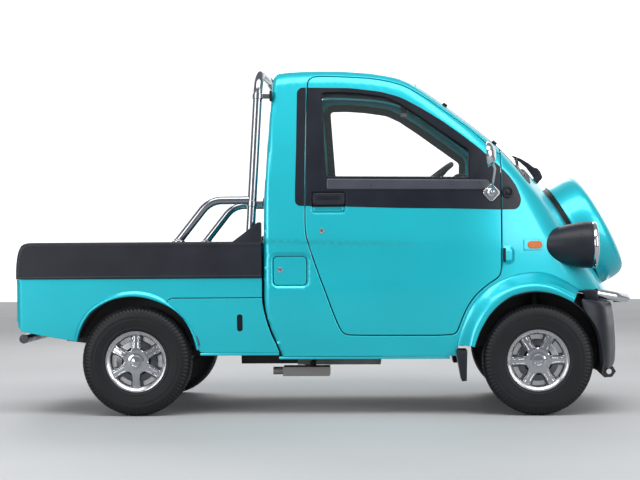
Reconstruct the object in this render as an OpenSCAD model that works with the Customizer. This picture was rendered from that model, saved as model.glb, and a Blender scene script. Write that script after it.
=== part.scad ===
// Small cab-over pickup truck with a short drop-side load bed.
// Millimetres. +X is forward, +Y is the vehicle's left, +Z is up.
// Origin: ground level, centre of the overall plan rectangle.

/* [Layout] */
// Front axle position along the truck
front_axle_x = 960; // [900:5:1000]
// Rear axle position along the truck
rear_axle_x = -880; // [-950:5:-820]
// Half of the track, centre plane of a tyre
half_track = 548; // [520:1:560]
// Height of every wheel centre above the ground
axle_z = 252; // [230:1:270]
// Distance of the steering axis from the centre plane
kingpin_y = 470; // [450:1:480]

/* [Panels] */
// Thickness of the doors and the cab walls
wall = 38; // [20:1:50]
// Thickness of nose and fender skins
skin = 24; // [10:1:40]
// Half of the gap round each door
gap = 3; // [2.6:0.2:6]
// Thickness of the window glass
glass_t = 5; // [3:0.5:8]
// Radius of the front wheel arch
front_arch_r = 303; // [295:1:320]
// Radius of the rear wheel arch
rear_arch_r = 293; // [285:1:310]

/* [Load bed] */
// Top of the load floor
bed_floor_z = 640; // [600:5:680]
// Top of the bed rails
rail_z = 801; // [760:1:860]
// Rear end of the bed
bed_rear_x = -1438; // [-1500:1:-1380]
// Radius of the roll bar tube
tube_r = 21.35; // [18:0.05:30]

// Radius of the side bars behind the hoop
side_r = 19; // [15:0.5:21]

/* [Wheels] */
// Radius of a tyre's tread
tyre_r = 252; // [240:1:270]
// Radius of the stub axles
stub_r = 20; // [15:0.5:25]
// Radial running clearance of every turning fit
fit = 0.05; // [0.02:0.01:0.1]

/* [Hidden] */
$fn = 48;

paint = [0.05, 0.42, 0.45];
black = [0.05, 0.05, 0.055];
chrome = [0.8, 0.8, 0.82];

// outline helpers ------------------------------------------------------------
// outline moved inwards by d, for a counter-clockwise outline
function unit(v) = v / norm(v);
function side_n(a, b) = let(u = unit(b - a)) [-u[1], u[0]];
function inset(p, d) = [for (i = [0:len(p) - 1])
  let(n = len(p), a = p[(i + n - 1) % n], b = p[i], c = p[(i + 1) % n],
      m = side_n(a, b), k = side_n(b, c)) b + d * (m + k) / (1 + m * k)];
function mirrored(p) = concat(p, [for (i = [len(p) - 1:-1:0]) [-p[i][0], p[i][1]]]);

module along_y(p, y0 = -900, y1 = 900)
  translate([0, y1, 0]) rotate([90, 0, 0]) linear_extrude(y1 - y0) polygon(p);
module along_x(p, x0 = -1700, x1 = 1700)
  translate([x0, 0, 0]) rotate([90, 0, 90]) linear_extrude(x1 - x0) polygon(p);
module along_z(p, z0 = 0, z1 = 1800)
  translate([0, 0, z0]) linear_extrude(z1 - z0) polygon(p);
module rod_y(x, z, r, y0, y1) translate([x, y1, z]) rotate([90, 0, 0]) cylinder(r = r, h = y1 - y0);
module box(a, b) translate(a) cube(b - a);
module rod(a, b, r) {
  d = b - a; h = norm(d);
  translate(a) rotate([0, acos(d[2] / h), atan2(d[1], d[0])]) cylinder(r = r, h = h);
}
module both() { children(); mirror([0, 1, 0]) children(); }

// cab outlines ---------------------------------------------------------------
cab_side = [[-222, 284], [-208, 272], [640, 272], [700, 545], [1334, 545], [1322, 580],
  [1066, 1042], [1040, 1068], [1000, 1095], [967, 1117], [880, 1196], [794, 1274],
  [680, 1367], [583, 1440], [487, 1509], [396, 1567], [342, 1590], [294, 1602],
  [200, 1618], [57, 1629], [-86, 1630], [-190, 1626], [-240, 1612], [-252, 1590],
  [-255, 1478], [-268, 1314], [-280, 1128], [-289, 977], [-292, 800], [-292, 533],
  [-286, 480], [-272, 424], [-248, 350]];
// the same outline without its small corners, for the inside faces
cab_side_in = [[-222, 272], [640, 272], [700, 545], [1342, 545], [1066, 1042], [967, 1117],
  [794, 1274], [583, 1440], [396, 1567], [294, 1602], [57, 1629], [-86, 1630], [-250, 1616],
  [-255, 1478], [-280, 1128], [-292, 800], [-292, 533], [-272, 424]];
cab_half = [[588, 270], [604, 400], [614, 560], [620, 700], [620, 800], [612, 940],
  [597, 1100], [582, 1200], [567, 1300], [540, 1450], [524, 1520], [512, 1552],
  [494, 1576], [462, 1592], [400, 1604], [300, 1616], [170, 1626]];
cab_front = concat([for (p = cab_half) p], [for (i = [len(cab_half) - 1:-1:0]) [-cab_half[i][0], cab_half[i][1]]]);
plan_half = [[-320, 640], [500, 640], [640, 617], [750, 602], [850, 580], [950, 548],
  [1050, 508], [1150, 458], [1220, 415], [1270, 372], [1306, 320], [1326, 240], [1334, 120]];
cab_plan = concat([for (p = plan_half) [p[0], -p[1]]], [for (i = [len(plan_half) - 1:-1:0]) plan_half[i]]);
screen_tilt = 40;
screen_foot = [967, 0, 1125];
function bow(d) = concat([[760, -2600]], [for (w = [700:-100:-700]) [w, -0.00016 * w * w - d]], [[-760, -2600]]);

module screen_frame() translate(screen_foot) rotate([0, screen_tilt, 0]) children();
module cab_vol(d = 0) intersection() {
  along_y(d > 10 ? inset(cab_side_in, d) : inset(cab_side, d));
  along_x(inset(cab_front, d));
  along_z(inset(cab_plan, d));
  screen_frame() along_x(bow(d));
}
module cab_shell(a, b) difference() { cab_vol(a); cab_vol(b); }

door_line = [[105, 367], [560, 366], [592, 379], [606, 414], [629, 473], [661, 528],
  [698, 568], [744, 604], [797, 638], [799, 1189], [741, 1240], [660, 1311], [569, 1379],
  [478, 1444], [387, 1503], [341, 1525], [272, 1543], [203, 1554], [64, 1563], [-52, 1566],
  [-80, 1551], [-89, 1523], [-97, 989], [-97, 843], [-84, 792], [-52, 692], [-8, 573],
  [37, 449], [59, 398], [77, 375]];
window_line = [[-2, 1094], [656, 1086], [656, 1212], [545, 1291], [432, 1372], [340, 1433],
  [272, 1464], [156, 1482], [64, 1488], [-28, 1487]];
front_reg = [[575, 240], [1500, 240], [1500, 1000], [1000, 1150], [803, 1150], [803, 660], [760, 620], [700, 575],
  [660, 535], [628, 480], [600, 410], [575, 380]];
roof_reg = [[-400, 1572], [300, 1572], [380, 1546], [470, 1540], [470, 1700], [-400, 1700]];
screen_line = [[-28, -490], [-20, -440], [-16, -200], [-16, 200], [-20, 440], [-28, 490], [-690, 452], [-700, 420],
  [-712, 200], [-712, -200], [-700, -420], [-690, -452]];
fuel_line = [[-93, 600], [-93, 729], [-243, 729], [-243, 600]];

module screen_cut(d) screen_frame() translate([0, 0, -160]) linear_extrude(330) polygon(inset(screen_line, d));
module door_hole() both() along_y(inset(door_line, -gap), -900, -300);
module front_arch(r = front_arch_r, y0 = 338)
  both() rod_y(958, 262, r, -900, -y0);

// cab ------------------------------------------------------------------------
module cab_rest() difference() {
  cab_shell(0, wall);
  door_hole();
  along_y(front_reg);
  along_y(inset(roof_reg, -0.5));
  screen_cut(-1);
  // floor opening for the seat box and the drive unit
  box([-330, -470, 200], [640, 470, 420]);
  box([560, -470, 200], [740, 470, 610]);
  front_arch();
}
module cab_back() color(paint) difference() {
  intersection() { cab_rest(); box([-330, -470, 200], [-240, 470, 1571]); }
  along_x([[-420, 1075], [420, 1075], [400, 1430], [-400, 1430]], -400, -150);
}
module cab_side(s) difference() {
  cab_rest();
  box([-330, -470, 200], [-240, 470, 1571]);
  box([-500, min(0, s * 900), 0], [1500, max(0, s * 900), 1800]);
  // recess of the filler lid, right side only
  along_y(inset(fuel_line, -6), -900, -591);
}
module cab_side_right() color(paint) cab_side(1);
module cab_side_left() color(paint) cab_side(-1);
module roof_panel() color(paint) difference() {
  intersection() { cab_shell(0, 22); along_y(roof_reg); }
  screen_cut(-1);
}
module cab_floor() color(black) difference() {
  union() {
    box([-218, -560, 392], [560, 560, 402]);
    box([560, -330.5, 392], [830, 330.5, 402]);
    box([-215, -460, 402], [300, 460, 640]);
    // toe board
    along_y([[822, 392], [832, 386], [1010, 640], [1010, 880], [1000, 880], [1000, 645]], -330.5, 330.5);
  }
  box([-205, -450, 380], [290, 450, 630]);
}
module front_sheet() intersection() {
  cab_shell(0, skin);
  along_y(front_reg);
}
module nose_panel() color(paint) difference() {
  intersection() { front_sheet(); box([780, -330, 500], [1500, 330, 1300]); }
  screen_cut(-1);
  box([700, -400, 500], [1290, 400, 569.2]);
  pod_cut();
}
// opening in the sheet metal for each headlamp body
module pod_cut() both() translate([1060, -465, 775]) rotate([0, 90, 0]) {
  cylinder(r = 59.2, h = 60);
  translate([0, 0, 51.8]) cylinder(r = 107.2, h = 300);
}
module flare() rotate([90, 0, 0]) rotate_extrude() polygon([[303, 470], [392, 470], [392, 556], [372, 590],
  [345, 634], [330, 645], [303, 647]]);
module flare_vol() both() intersection() {
  translate([958, 0, 262]) flare();
  along_y([[592, 300], [700, 300], [958, 280], [1150, 470], [1166, 552], [1166, 760], [640, 760], [604, 380]]);
}
module fender() difference() {
  union() {
    intersection() { front_sheet(); box([500, -700, 240], [1500, -331, 1300]); }
    intersection() {
      translate([958, 0, 262]) flare();
      along_y([[592, 300], [700, 300], [958, 280], [1150, 470], [1166, 552], [1166, 760], [640, 760], [604, 380]]);
    }
    // wheel house shell
    intersection() {
      rod_y(958, 262, 310, -580, -340);
      along_y([[650, 330], [1180, 480], [1180, 700], [640, 700]]);
      cab_vol(2);
    }
  }
  both() along_y(inset(door_line, -gap), -900, -300);
  front_arch(front_arch_r, 300);
  screen_cut(-1);
  pod_cut();
}
module front_fender_right() color(paint) fender();
module front_fender_left() color(paint) mirror([0, 1, 0]) fender();
module windshield() color([0.7, 0.8, 0.8, 0.4]) intersection() {
  cab_shell(1, 1 + glass_t);
  screen_cut(0);
}
module rear_window() color([0.7, 0.8, 0.8, 0.4]) intersection() {
  cab_shell(10, 10 + glass_t);
  along_x([[-419, 1076], [419, 1076], [399, 1429], [-399, 1429]], -400, -150);
}
module dashboard() color(black) difference() {
  along_y([[700, 900], [960, 900], [1000, 940], [975, 1040], [860, 1112], [700, 1118], [640, 1110], [630, 1060], [650, 960]], -430, 430);
  // clear of the steering column
  rod([600, -270, 854], [760, -270, 646], 27);
}
module seat_cushion() color(black) both()
  intersection() {
    along_y([[-150, 641], [300, 641], [320, 690], [300, 735], [-60, 722], [-150, 705]], -450, -40);
    along_x([[-450, 641], [-40, 641], [-40, 716], [-70, 745], [-420, 745], [-450, 716]]);
  }
module seat_back() color(black) both()
  intersection() {
    along_y([[-150, 710], [-62, 724], [-118, 1240], [-140, 1262], [-190, 1262], [-214, 1230], [-170, 700]], -430, -60);
    along_x([[-430, 700], [-60, 700], [-60, 1215], [-100, 1262], [-390, 1262], [-430, 1215]]);
  }
module steering_column() color(black) {
  translate([445, -270, 1056]) rotate([0, 142.5, 0]) difference() {
    translate([0, 0, 60]) cylinder(r = 26, h = 520);
    translate([0, 0, 50]) cylinder(r = 12 + fit, h = 220);
  }
  // bracket down to the toe board
  box([770, -290, 600], [800, -250, 640]);
  box([800, -290, 615], [975, -250, 628]);
}
module steering_wheel() color(black) translate([445, -270, 1056]) rotate([0, 142.5, 0]) {
  rotate_extrude() translate([172, 0]) circle(r = 14);
  for (a = [90, 210, 330]) rotate([0, 0, a]) box([20, -14, -5], [166, 14, 5]);
  cylinder(r = 45, h = 40, center = true);
  cylinder(r = 12, h = 240);
}
module cabin_fittings() color(black) {
  // centre mirror on the header
  box([345, -110, 1420], [375, 110, 1475]);
  rod([360, 0, 1470], [400, 0, 1535], 8);
  // pedals hanging in the foot well
  for (y = [-320, -225, -150]) { box([870, y - 8, 530], [878, y + 8, 690]); box([856, y - 25, 480], [870, y + 25, 545]); }
  box([870, -330, 690], [1000, -140, 704]);
  // gear lever and hand brake
  translate([420, 0, 402]) cylinder(r = 30, h = 14);
  rod([420, 0, 414], [400, 0, 640], 9);
  translate([400, 0, 650]) sphere(r = 24);
  rod([330, 90, 430], [470, 90, 600], 11);
  box([310, 75, 402], [370, 105, 450]);
}

// nose furniture -------------------------------------------------------------
module spare_frame() translate([1187, 0, 821]) rotate([0, 61.4, 0]) children();
module spare_wheel_cover() color(paint) spare_frame() rotate_extrude() polygon([[0, 8], [268, 8], [272, 14], [272, 60],
  [269, 98], [260, 124], [246, 140], [225, 149], [170, 156], [0, 160]]);
module pod() {
  translate([1060, -465, 775]) rotate([0, 90, 0]) {
    cylinder(r = 59, h = 60);
    translate([0, 0, 52]) rotate_extrude() polygon([[0, 0], [59, 0], [107, 18], [107, 107], [104, 122], [96, 132], [60, 141], [0, 145]]);
  }
}
module headlamp_right() color(black) pod();
module headlamp_left() color(black) mirror([0, 1, 0]) pod();
bumper_plan = [[1148, -640], [1190, -636], [1240, -618], [1280, -580], [1320, -500], [1352, -380],
  [1373, -200], [1383, 0], [1373, 200], [1352, 380], [1320, 500], [1280, 580], [1240, 618], [1190, 636], [1148, 640]];
module front_bumper() color(black) difference() {
  intersection() {
    along_z(bumper_plan, 200, 600);
    along_y([[1120, 226], [1372, 208], [1384, 240], [1388, 300], [1384, 420], [1370, 480], [1340, 500],
      [1200, 508], [1170, 542], [1120, 542]]);
  }
  along_z([for (p = inset(bumper_plan, 26)) p], 190, 490);
  box([1100, -560, 190], [1175, 560, 700]);
  cab_vol(0);
  flare_vol();
  front_arch(front_arch_r, 300);
}
module front_guard_bar() color(chrome) translate([1422, 0, 519]) rotate([0, 10, 0]) {
  rotate([90, 0, 0]) cylinder(r = 21.5, h = 620, center = true);
  both() translate([-142, -310, 0]) {
    rotate([0, 0, -70]) rotate_extrude(angle = 70) translate([142, 0]) circle(r = 21.5);
    rotate([0, 0, -70]) translate([142, 0, 0]) rotate([90, 0, 0]) cylinder(r = 21.5, h = 90);
  }
  both() box([-82, -230, -6], [-10, -200, 14]);
}
module wiper() color(black) {
  translate([1003, -60, 1108]) rotate([0, 40, 0]) cylinder(r = 12, h = 34);
  rod([1010, -60, 1130], [955, -120, 1182], 5);
  rod([955, -120, 1182], [860, -330, 1215], 4);
}
module side_markers() color([0.9, 0.4, 0.05]) both() difference() {
  intersection() { cab_shell(-6, 10); along_y([[900, 764], [988, 764], [988, 792], [900, 792]], -700, -400); }
  cab_shell(0, skin);
}

// chassis --------------------------------------------------------------------
module frame_rails() color(black) {
  both() along_y([[1290, 300], [1290, 372], [-330, 372], [-560, 470], [-1400, 470], [-1400, 400], [-600, 400], [-380, 300]], -300, -250);
  box([1180, -250, 300], [1240, 250, 372]);
  box([640, -250, 300], [690, 250, 360]);
  box([-400, -250, 318], [-350, -130, 372]);
  box([-400, 130, 318], [-350, 250, 372]);
  box([-700, -250, 410], [-650, 250, 470]);
  box([-1380, -250, 400], [-1330, 250, 470]);
  // towing eye below the bumper
  difference() {
    along_y([[1230, 300], [1230, 240], [1262, 178], [1290, 152], [1325, 155], [1343, 180], [1330, 204],
      [1300, 208], [1276, 240], [1276, 300]], -356, -344);
    rod_y(1312, 180, 13, -400, -300);
  }
  box([1230, -356, 276], [1276, -300, 300]);
  box([1230, -320, 276], [1276, -250, 300]);
  // outriggers to the sill and to the floor
  both() for (x = [-200, 500]) box([x, -469.5, 300], [x + 50, -300, 391.5]);
}
module engine() color([0.4, 0.4, 0.42]) {
  box([-160, -200, 205], [240, 200, 600]);
  both() box([20, -250, 320], [80, -200, 360]);
}
module driveline() color([0.3, 0.3, 0.32]) {
  box([-440, -120, 205], [-160, 120, 390]);
  rod([-440, 0, 290], [-786, 0, 256], 30);
}
module exhaust() color([0.45, 0.45, 0.45]) {
  box([-213, -470, 172], [4, -340, 214]);
  rod([-213, -400, 193], [-262, -400, 193], 18);
  box([-120, -340, 185], [-80, -299, 200]);
  box([-120, -312, 200], [-80, -300, 330]);
  rod([-80, -345, 193], [-80, -222, 283], 16);
}
module fuel_tank() color(black) {
  box([-580, -550, 315], [-330, -320, 470]);
  box([-480, -320, 400], [-440, -300.5, 440]);
}
module rear_axle() color(black) {
  translate([rear_axle_x, 0, axle_z]) {
    difference() { sphere(r = 95); rotate([0, 90, 0]) cylinder(r = 31, h = 200); }
    rotate([90, 0, 0]) cylinder(r = 34, h = 900, center = true);
    rotate([90, 0, 0]) cylinder(r = stub_r, h = 2 * half_track + 56, center = true);
  }
  both() rod_y(rear_axle_x, axle_z, 105, -500, -450);
  both() box([-925, -302, 283], [-835, -254, 300]);
}
module leaf_springs() color(black) both() {
  along_y([[-1250, 330], [-1060, 304], [-880, 300.5], [-700, 304], [-520, 330], [-520, 350], [-700, 326], [-880, 322], [-1060, 326], [-1250, 350]], -300, -256);
  box([-1262, -300, 330], [-1236, -256, 399.5]);
  box([-534, -300, 330], [-508, -256, 356]);
}
module front_suspension() color(black) {
  // lower arms, strut and cross beam
  both() difference() {
    union() {
      box([920, -470, 152], [1000, -250, 176]);
      translate([960, -kingpin_y, 150]) cylinder(r = 26, h = 28);
      translate([960, -kingpin_y, 326]) cylinder(r = 26, h = 28);
      rod([960, -440, 340], [960, -400, 545], 20);
      box([937, -470, 330], [983, -430, 352]);
    }
    translate([960, -kingpin_y, 100]) cylinder(r = 14 + fit, h = 300);
  }
  box([925, -255, 150], [995, 255, 230]);
  both() box([930, -299, 176], [990, -251, 299.5]);
  both() box([946, -410, 521], [974, -300.5, 541]);
  both() box([946, -318, 330], [974, -300.5, 530]);
  rod_y(850, 250, 22, -250, 250);
  both() box([830, -299, 240], [870, -250, 299.5]);
}
module knuckle() difference() {
  union() {
    translate([front_axle_x, -kingpin_y, 145]) cylinder(r = 14, h = 215);
    box([938, -kingpin_y - 20, 190], [982, -kingpin_y + 20, 314]);
    rod_y(front_axle_x, axle_z, stub_r, -half_track - 28, -kingpin_y);
    box([850, -450, 196], [950, -430 - 12, 214]);
    box([936, -468, 190], [960, -440, 230]);
  }
}
module knuckle_right() color([0.3, 0.3, 0.32]) knuckle();
module knuckle_left() color([0.3, 0.3, 0.32]) mirror([0, 1, 0]) knuckle();

// wheels, axis along Y, outside towards -Y -----------------------------------
module tyre() rotate([90, 0, 0]) rotate_extrude() polygon([[128, -58], [150, -65], [190, -70], [218, -69], [236, -63],
  [247, -50], [252, -34], [252, 34], [247, 50], [236, 63], [218, 69], [190, 70], [150, 65], [128, 58]]);
module rim() rotate([90, 0, 0]) {
  rotate_extrude() polygon([[stub_r + fit, -40], [56, -40], [56, 8], [112, 12], [114, -58], [127.8, -58.2],
    [139, -62.2], [139, -66], [110, -66], [104, 0], [60, -4], [60, -44], [stub_r + fit, -44]]);
  rotate_extrude() polygon([[stub_r + fit, -40], [56, -40], [56, 8], [112, 12], [114, -57], [127.8, -57],
    [127.8, 58.2], [139, 62.2], [141.5, 66], [141.5, 70], [132, 70], [112, 62], [60, 52], [44, 56], [36, 70],
    [30, 75], [0, 78], [0, 48], [56, 40], [104, 44], [108, 24], [stub_r + fit, 20]]);
}
module place(x, s) translate([x, 0, axle_z]) { if (s > 0) translate([0, -half_track, 0]) children(); else mirror([0, 1, 0]) translate([0, -half_track, 0]) children(); }
module tyre_front_right() color(black) place(front_axle_x, 1) tyre();
module tyre_front_left() color(black) place(front_axle_x, -1) tyre();
module tyre_rear_right() color(black) place(rear_axle_x, 1) tyre();
module tyre_rear_left() color(black) place(rear_axle_x, -1) tyre();
module wheel_front_right() color(chrome) place(front_axle_x, 1) rim();
module wheel_front_left() color(chrome) place(front_axle_x, -1) rim();
module wheel_rear_right() color(chrome) place(rear_axle_x, 1) rim();
module wheel_rear_left() color(chrome) place(rear_axle_x, -1) rim();
module mud_flaps() color(black) both() {
  along_y([[606, 160], [616, 160], [632, 272], [622, 272]], -622, -470);
}

// doors ----------------------------------------------------------------------
module door() difference() {
  intersection() { cab_shell(0, wall); along_y(inset(door_line, gap), -900, -300); }
  along_y(window_line, -900, -300);
  // finger recess under the pull
  along_y([[-60, 930], [82, 930], [82, 1010], [-60, 1010]], -900, -596);
}
module door_right() color(paint) door();
module door_left() color(paint) mirror([0, 1, 0]) door();
module door_glass() intersection() {
  cab_shell(14, 14 + glass_t);
  along_y(inset(window_line, 0.4), -900, -300);
}
module door_glass_right() color([0.7, 0.8, 0.8, 0.4]) door_glass();
module door_glass_left() color([0.7, 0.8, 0.8, 0.4]) mirror([0, 1, 0]) door_glass();
module door_mirror() {
  difference() {
    rod([751, -585, 1018], [751, -628, 1018], 34);
    cab_vol(0);
  }
  rod([751, -620, 1030], [748, -700, 1120], 7);
  translate([742, -716, 1182]) rotate([0, -90, 0]) { cylinder(r = 62, h = 12, center = true); translate([0, 0, -24]) cylinder(r1 = 30, r2 = 62, h = 18); }
  rod([748, -700, 1116], [742, -710, 1140], 7);
}
module mirror_right() color(chrome) door_mirror();
module mirror_left() color(chrome) mirror([0, 1, 0]) door_mirror();
module fuel_lid() color(paint) intersection() {
  cab_shell(0, 14);
  along_y(fuel_line, -900, -400);
}

// load bed -------------------------------------------------------------------
bed_front = mirrored([[588, 270], [604, 400], [614, 560], [620, 700], [620, 790], [612, 801]]);
bed_skirt = [[-299, 290], [-299, 630], [-1438, 630], [-1438, 470], [-1432, 430], [-1414, 408], [-1324, 386],
  [-1230, 367], [-1157, 354], [-1100, 330], [-600, 306], [-585, 294], [-562, 290]];
module bed_vol(d, x0, x1) along_x(inset([for (p = bed_front) p], d), x0, x1);
module rear_arch(r) both() rod_y(-878, 262, r, -900, -440);
module bed_body() color(paint) difference() {
  union() {
    difference() {
      intersection() { bed_vol(0, bed_rear_x, -299); along_y(bed_skirt); }
      intersection() { bed_vol(22, bed_rear_x + 24, -322); box([-1700, -700, 200], [0, 700, 618]); }
      box([-1700, -560, 200], [0, 560, 470.5]);
    }
    both() intersection() {
      rod_y(-878, 262, 318, -645, -600);
      along_y([[-1160, 400], [-1000, 340], [-600, 340], [-600, 700], [-1300, 700]]);
    }
    // wheel house
    both() intersection() { rod_y(-878, 262, 301, -600, -455); box([-1300, -700, 330], [-400, 700, 620]); }
    both() intersection() { rod_y(-878, 262, 301, -455, -446); box([-1300, -700, 330], [-400, 700, 620]); }
    // floor and bearers
    box([-1408, -572, 622], [-322, 572, bed_floor_z]);
    for (x = [-1360, -1120, -640, -400]) box([x, -300, 470.5], [x + 50, 300, 622]);
    box([-322, -572, 630], [-300, 572, 800]);
  }
  rear_arch(rear_arch_r);
}
module bed_rail() color(black) {
  both() difference() {
    intersection() {
      bed_vol(0, bed_rear_x, -300);
      along_y([[-299, 632], [-299, 886], [-316, 888], [-366, 850], [-430, rail_z], [-1395, rail_z], [-1422, 790],
        [-1434, 762], [-1434, 632]]);
      box([-1500, -700, 0], [0, -500, 1000]);
    }
    box([-1409, -574, 0], [0, -400, 778]);
    box([-1412, -524, 0], [0, -400, 1000]);
    box([-1500, -515, 0], [-1400, -400, 1000]);
    box([-322.2, -572.2, 0], [-280, -400, 800.2]);
  }
  both() intersection() {
    along_y([[-299, 700], [-299, 888], [-316, 888], [-366, 850], [-430, rail_z], [-430, 700]], -612, -576);
    box([-1700, -700, 800], [0, 700, 1000]);
  }
}
module tailgate() color(paint) difference() {
  union() {
    box([bed_rear_x, -506, 646], [-1416, 506, 792]);
    box([bed_rear_x, -506, 646], [-1418, 506, 660]);
  }
}
module tail_lamps() color([0.6, 0.02, 0.02]) both() {
  box([-1443, -585, 480], [-1438, -430, 600]);
}
module rear_bar() color(chrome) {
  rod_y(-1420, 353, 19, -310, 310);
  both() rod_y(-1420, 353, tube_r, -520, -300);
  both() difference() {
    along_y([[-1420, 364], [-1330, 372], [-1330, 399.5], [-1400, 399.5], [-1420, 374]], -290, -262);
    rod_y(-1420, 353, 18, -520, 520);
  }
}
module side_bar() {
  translate([-345, -548, 992]) rotate([0, -90, 0]) cylinder(r = side_r, h = 165.7);
  translate([-510.7, -548, 932]) rotate([90, 0, 0]) rotate([0, 0, 90]) rotate_extrude(angle = 52)
    translate([60, 0]) circle(r = side_r);
  translate([-510.7, -548, 932]) rotate([0, -52, 0]) translate([0, 0, 60]) rotate([0, -90, 0]) cylinder(r = side_r, h = 230);
}
module roll_bar() color(chrome) difference() {
  roll_tubes();
  box([-900, -700, 700], [-100, 700, rail_z]);
}
module roll_tubes() {
  // hoop, leaning back towards its feet
  translate([-356, 0, rail_z]) rotate([0, 3.4, 0]) {
    both() {
      translate([0, -548, -20]) cylinder(r = tube_r, h = 690);
      translate([0, -438, 670]) rotate([90, 0, -90]) rotate_extrude(angle = 90) translate([110, 0]) circle(r = tube_r);
    }
    translate([0, 0, 780]) rotate([90, 0, 0]) cylinder(r = tube_r, h = 876, center = true);
  }
  both() {
    side_bar();
    translate([-356, -548, rail_z]) cylinder(r = 27, h = 7);
    translate([-686, -548, rail_z]) cylinder(r = 26, h = 7);
    // stay to the cab
    translate([-316, -535, 1440]) rotate([0, 90, 0]) cylinder(r = 11, h = 40);
    translate([-280, -535, 1440]) box([0, -14, -16], [20.4, 30, 16]);
  }
}

// output ---------------------------------------------------------------------
frame_rails();
cab_side_right();
cab_side_left();
cab_back();
roof_panel();
cab_floor();
nose_panel();
front_fender_right();
front_fender_left();
windshield();
rear_window();
dashboard();
seat_cushion();
seat_back();
front_bumper();
front_guard_bar();
headlamp_right();
headlamp_left();
spare_wheel_cover();
bed_body();
bed_rail();
tailgate();
roll_bar();
rear_bar();
tail_lamps();
mud_flaps();
wiper();
fuel_lid();
engine();
driveline();
exhaust();
fuel_tank();
rear_axle();
leaf_springs();
front_suspension();
knuckle_right();
knuckle_left();
tyre_front_right();
tyre_front_left();
tyre_rear_right();
tyre_rear_left();
wheel_front_right();
wheel_front_left();
wheel_rear_right();
wheel_rear_left();
steering_wheel();
steering_column();
door_right();
door_left();
door_glass_right();
door_glass_left();
mirror_right();
mirror_left();
side_markers();
cabin_fittings();
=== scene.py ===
# Looks of the small pickup truck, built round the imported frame. All lengths are in metres.
import bpy, bmesh, math
import numpy as np
from mathutils import Vector, Matrix
from mathutils.geometry import delaunay_2d_cdt


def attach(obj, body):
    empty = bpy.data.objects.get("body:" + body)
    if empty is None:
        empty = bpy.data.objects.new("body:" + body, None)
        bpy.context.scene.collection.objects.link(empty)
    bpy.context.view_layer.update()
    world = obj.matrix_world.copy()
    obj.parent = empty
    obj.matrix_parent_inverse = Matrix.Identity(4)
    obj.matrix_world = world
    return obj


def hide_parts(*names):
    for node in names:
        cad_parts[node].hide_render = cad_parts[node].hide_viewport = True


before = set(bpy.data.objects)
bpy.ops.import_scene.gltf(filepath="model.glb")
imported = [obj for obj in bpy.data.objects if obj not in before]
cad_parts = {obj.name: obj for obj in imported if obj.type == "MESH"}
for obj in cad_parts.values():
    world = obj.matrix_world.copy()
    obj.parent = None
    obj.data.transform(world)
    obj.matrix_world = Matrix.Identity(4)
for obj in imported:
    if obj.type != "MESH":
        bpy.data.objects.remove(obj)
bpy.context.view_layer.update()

scene = bpy.context.scene
rng = np.random.default_rng(7)

# ---------------------------------------------------------------- materials
def new_mat(name):
    m = bpy.data.materials.new(name)
    m.use_nodes = True
    nt = m.node_tree
    b = nt.nodes["Principled BSDF"]
    return m, nt, b

def noise(nt, scale, detail=2.0, rough=0.5, coord="Object", stretch=None):
    tc = nt.nodes.new("ShaderNodeTexCoord")
    n = nt.nodes.new("ShaderNodeTexNoise")
    n.inputs["Scale"].default_value = scale
    n.inputs["Detail"].default_value = detail
    n.inputs["Roughness"].default_value = rough
    if stretch:
        mp = nt.nodes.new("ShaderNodeMapping")
        mp.inputs["Scale"].default_value = stretch
        nt.links.new(tc.outputs[coord], mp.inputs["Vector"])
        nt.links.new(mp.outputs["Vector"], n.inputs["Vector"])
    else:
        nt.links.new(tc.outputs[coord], n.inputs["Vector"])
    return n

def ramp(nt, src, stops):
    r = nt.nodes.new("ShaderNodeValToRGB")
    e = r.color_ramp.elements
    while len(e) < len(stops):
        e.new(0.5)
    for i, (p, c) in enumerate(stops):
        e[i].position = p
        e[i].color = (c[0], c[1], c[2], 1) if hasattr(c, "__len__") else (c, c, c, 1)
    nt.links.new(src, r.inputs["Fac"])
    return r

def bump(nt, b, src, strength, dist=0.001, prev=None):
    n = nt.nodes.new("ShaderNodeBump")
    n.inputs["Strength"].default_value = strength
    n.inputs["Distance"].default_value = dist
    nt.links.new(src, n.inputs["Height"])
    if prev is not None:
        nt.links.new(prev.outputs["Normal"], n.inputs["Normal"])
    nt.links.new(n.outputs["Normal"], b.inputs["Normal"])
    return n

def paint_mat(name, base, flake):
    m, nt, b = new_mat(name)
    # fine metallic flake gives small colour and roughness variation
    n = noise(nt, 900.0, 1.0)
    r = ramp(nt, n.outputs["Fac"], [(0.3, [c * 0.93 for c in base]), (0.7, [min(1, c * 1.05) for c in base])])
    big = noise(nt, 3.0, 2.0)
    mix = nt.nodes.new("ShaderNodeMix"); mix.data_type = "RGBA"; mix.blend_type = "MULTIPLY"
    r2 = ramp(nt, big.outputs["Fac"], [(0.35, 0.95), (0.65, 1.0)])
    mix.inputs[0].default_value = 1.0
    nt.links.new(r.outputs["Color"], mix.inputs[6]); nt.links.new(r2.outputs["Color"], mix.inputs[7])
    nt.links.new(mix.outputs[2], b.inputs["Base Color"])
    rr = ramp(nt, n.outputs["Fac"], [(0.3, 0.36), (0.7, 0.44)])
    nt.links.new(rr.outputs["Color"], b.inputs["Roughness"])
    b.inputs["Metallic"].default_value = flake
    b.inputs["Coat Weight"].default_value = 0.75
    b.inputs["Coat Roughness"].default_value = 0.12
    b.inputs["Coat IOR"].default_value = 1.45
    peel = noise(nt, 60.0, 1.0)
    bump(nt, b, peel.outputs["Fac"], 0.02, 0.0006)
    return m

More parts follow.
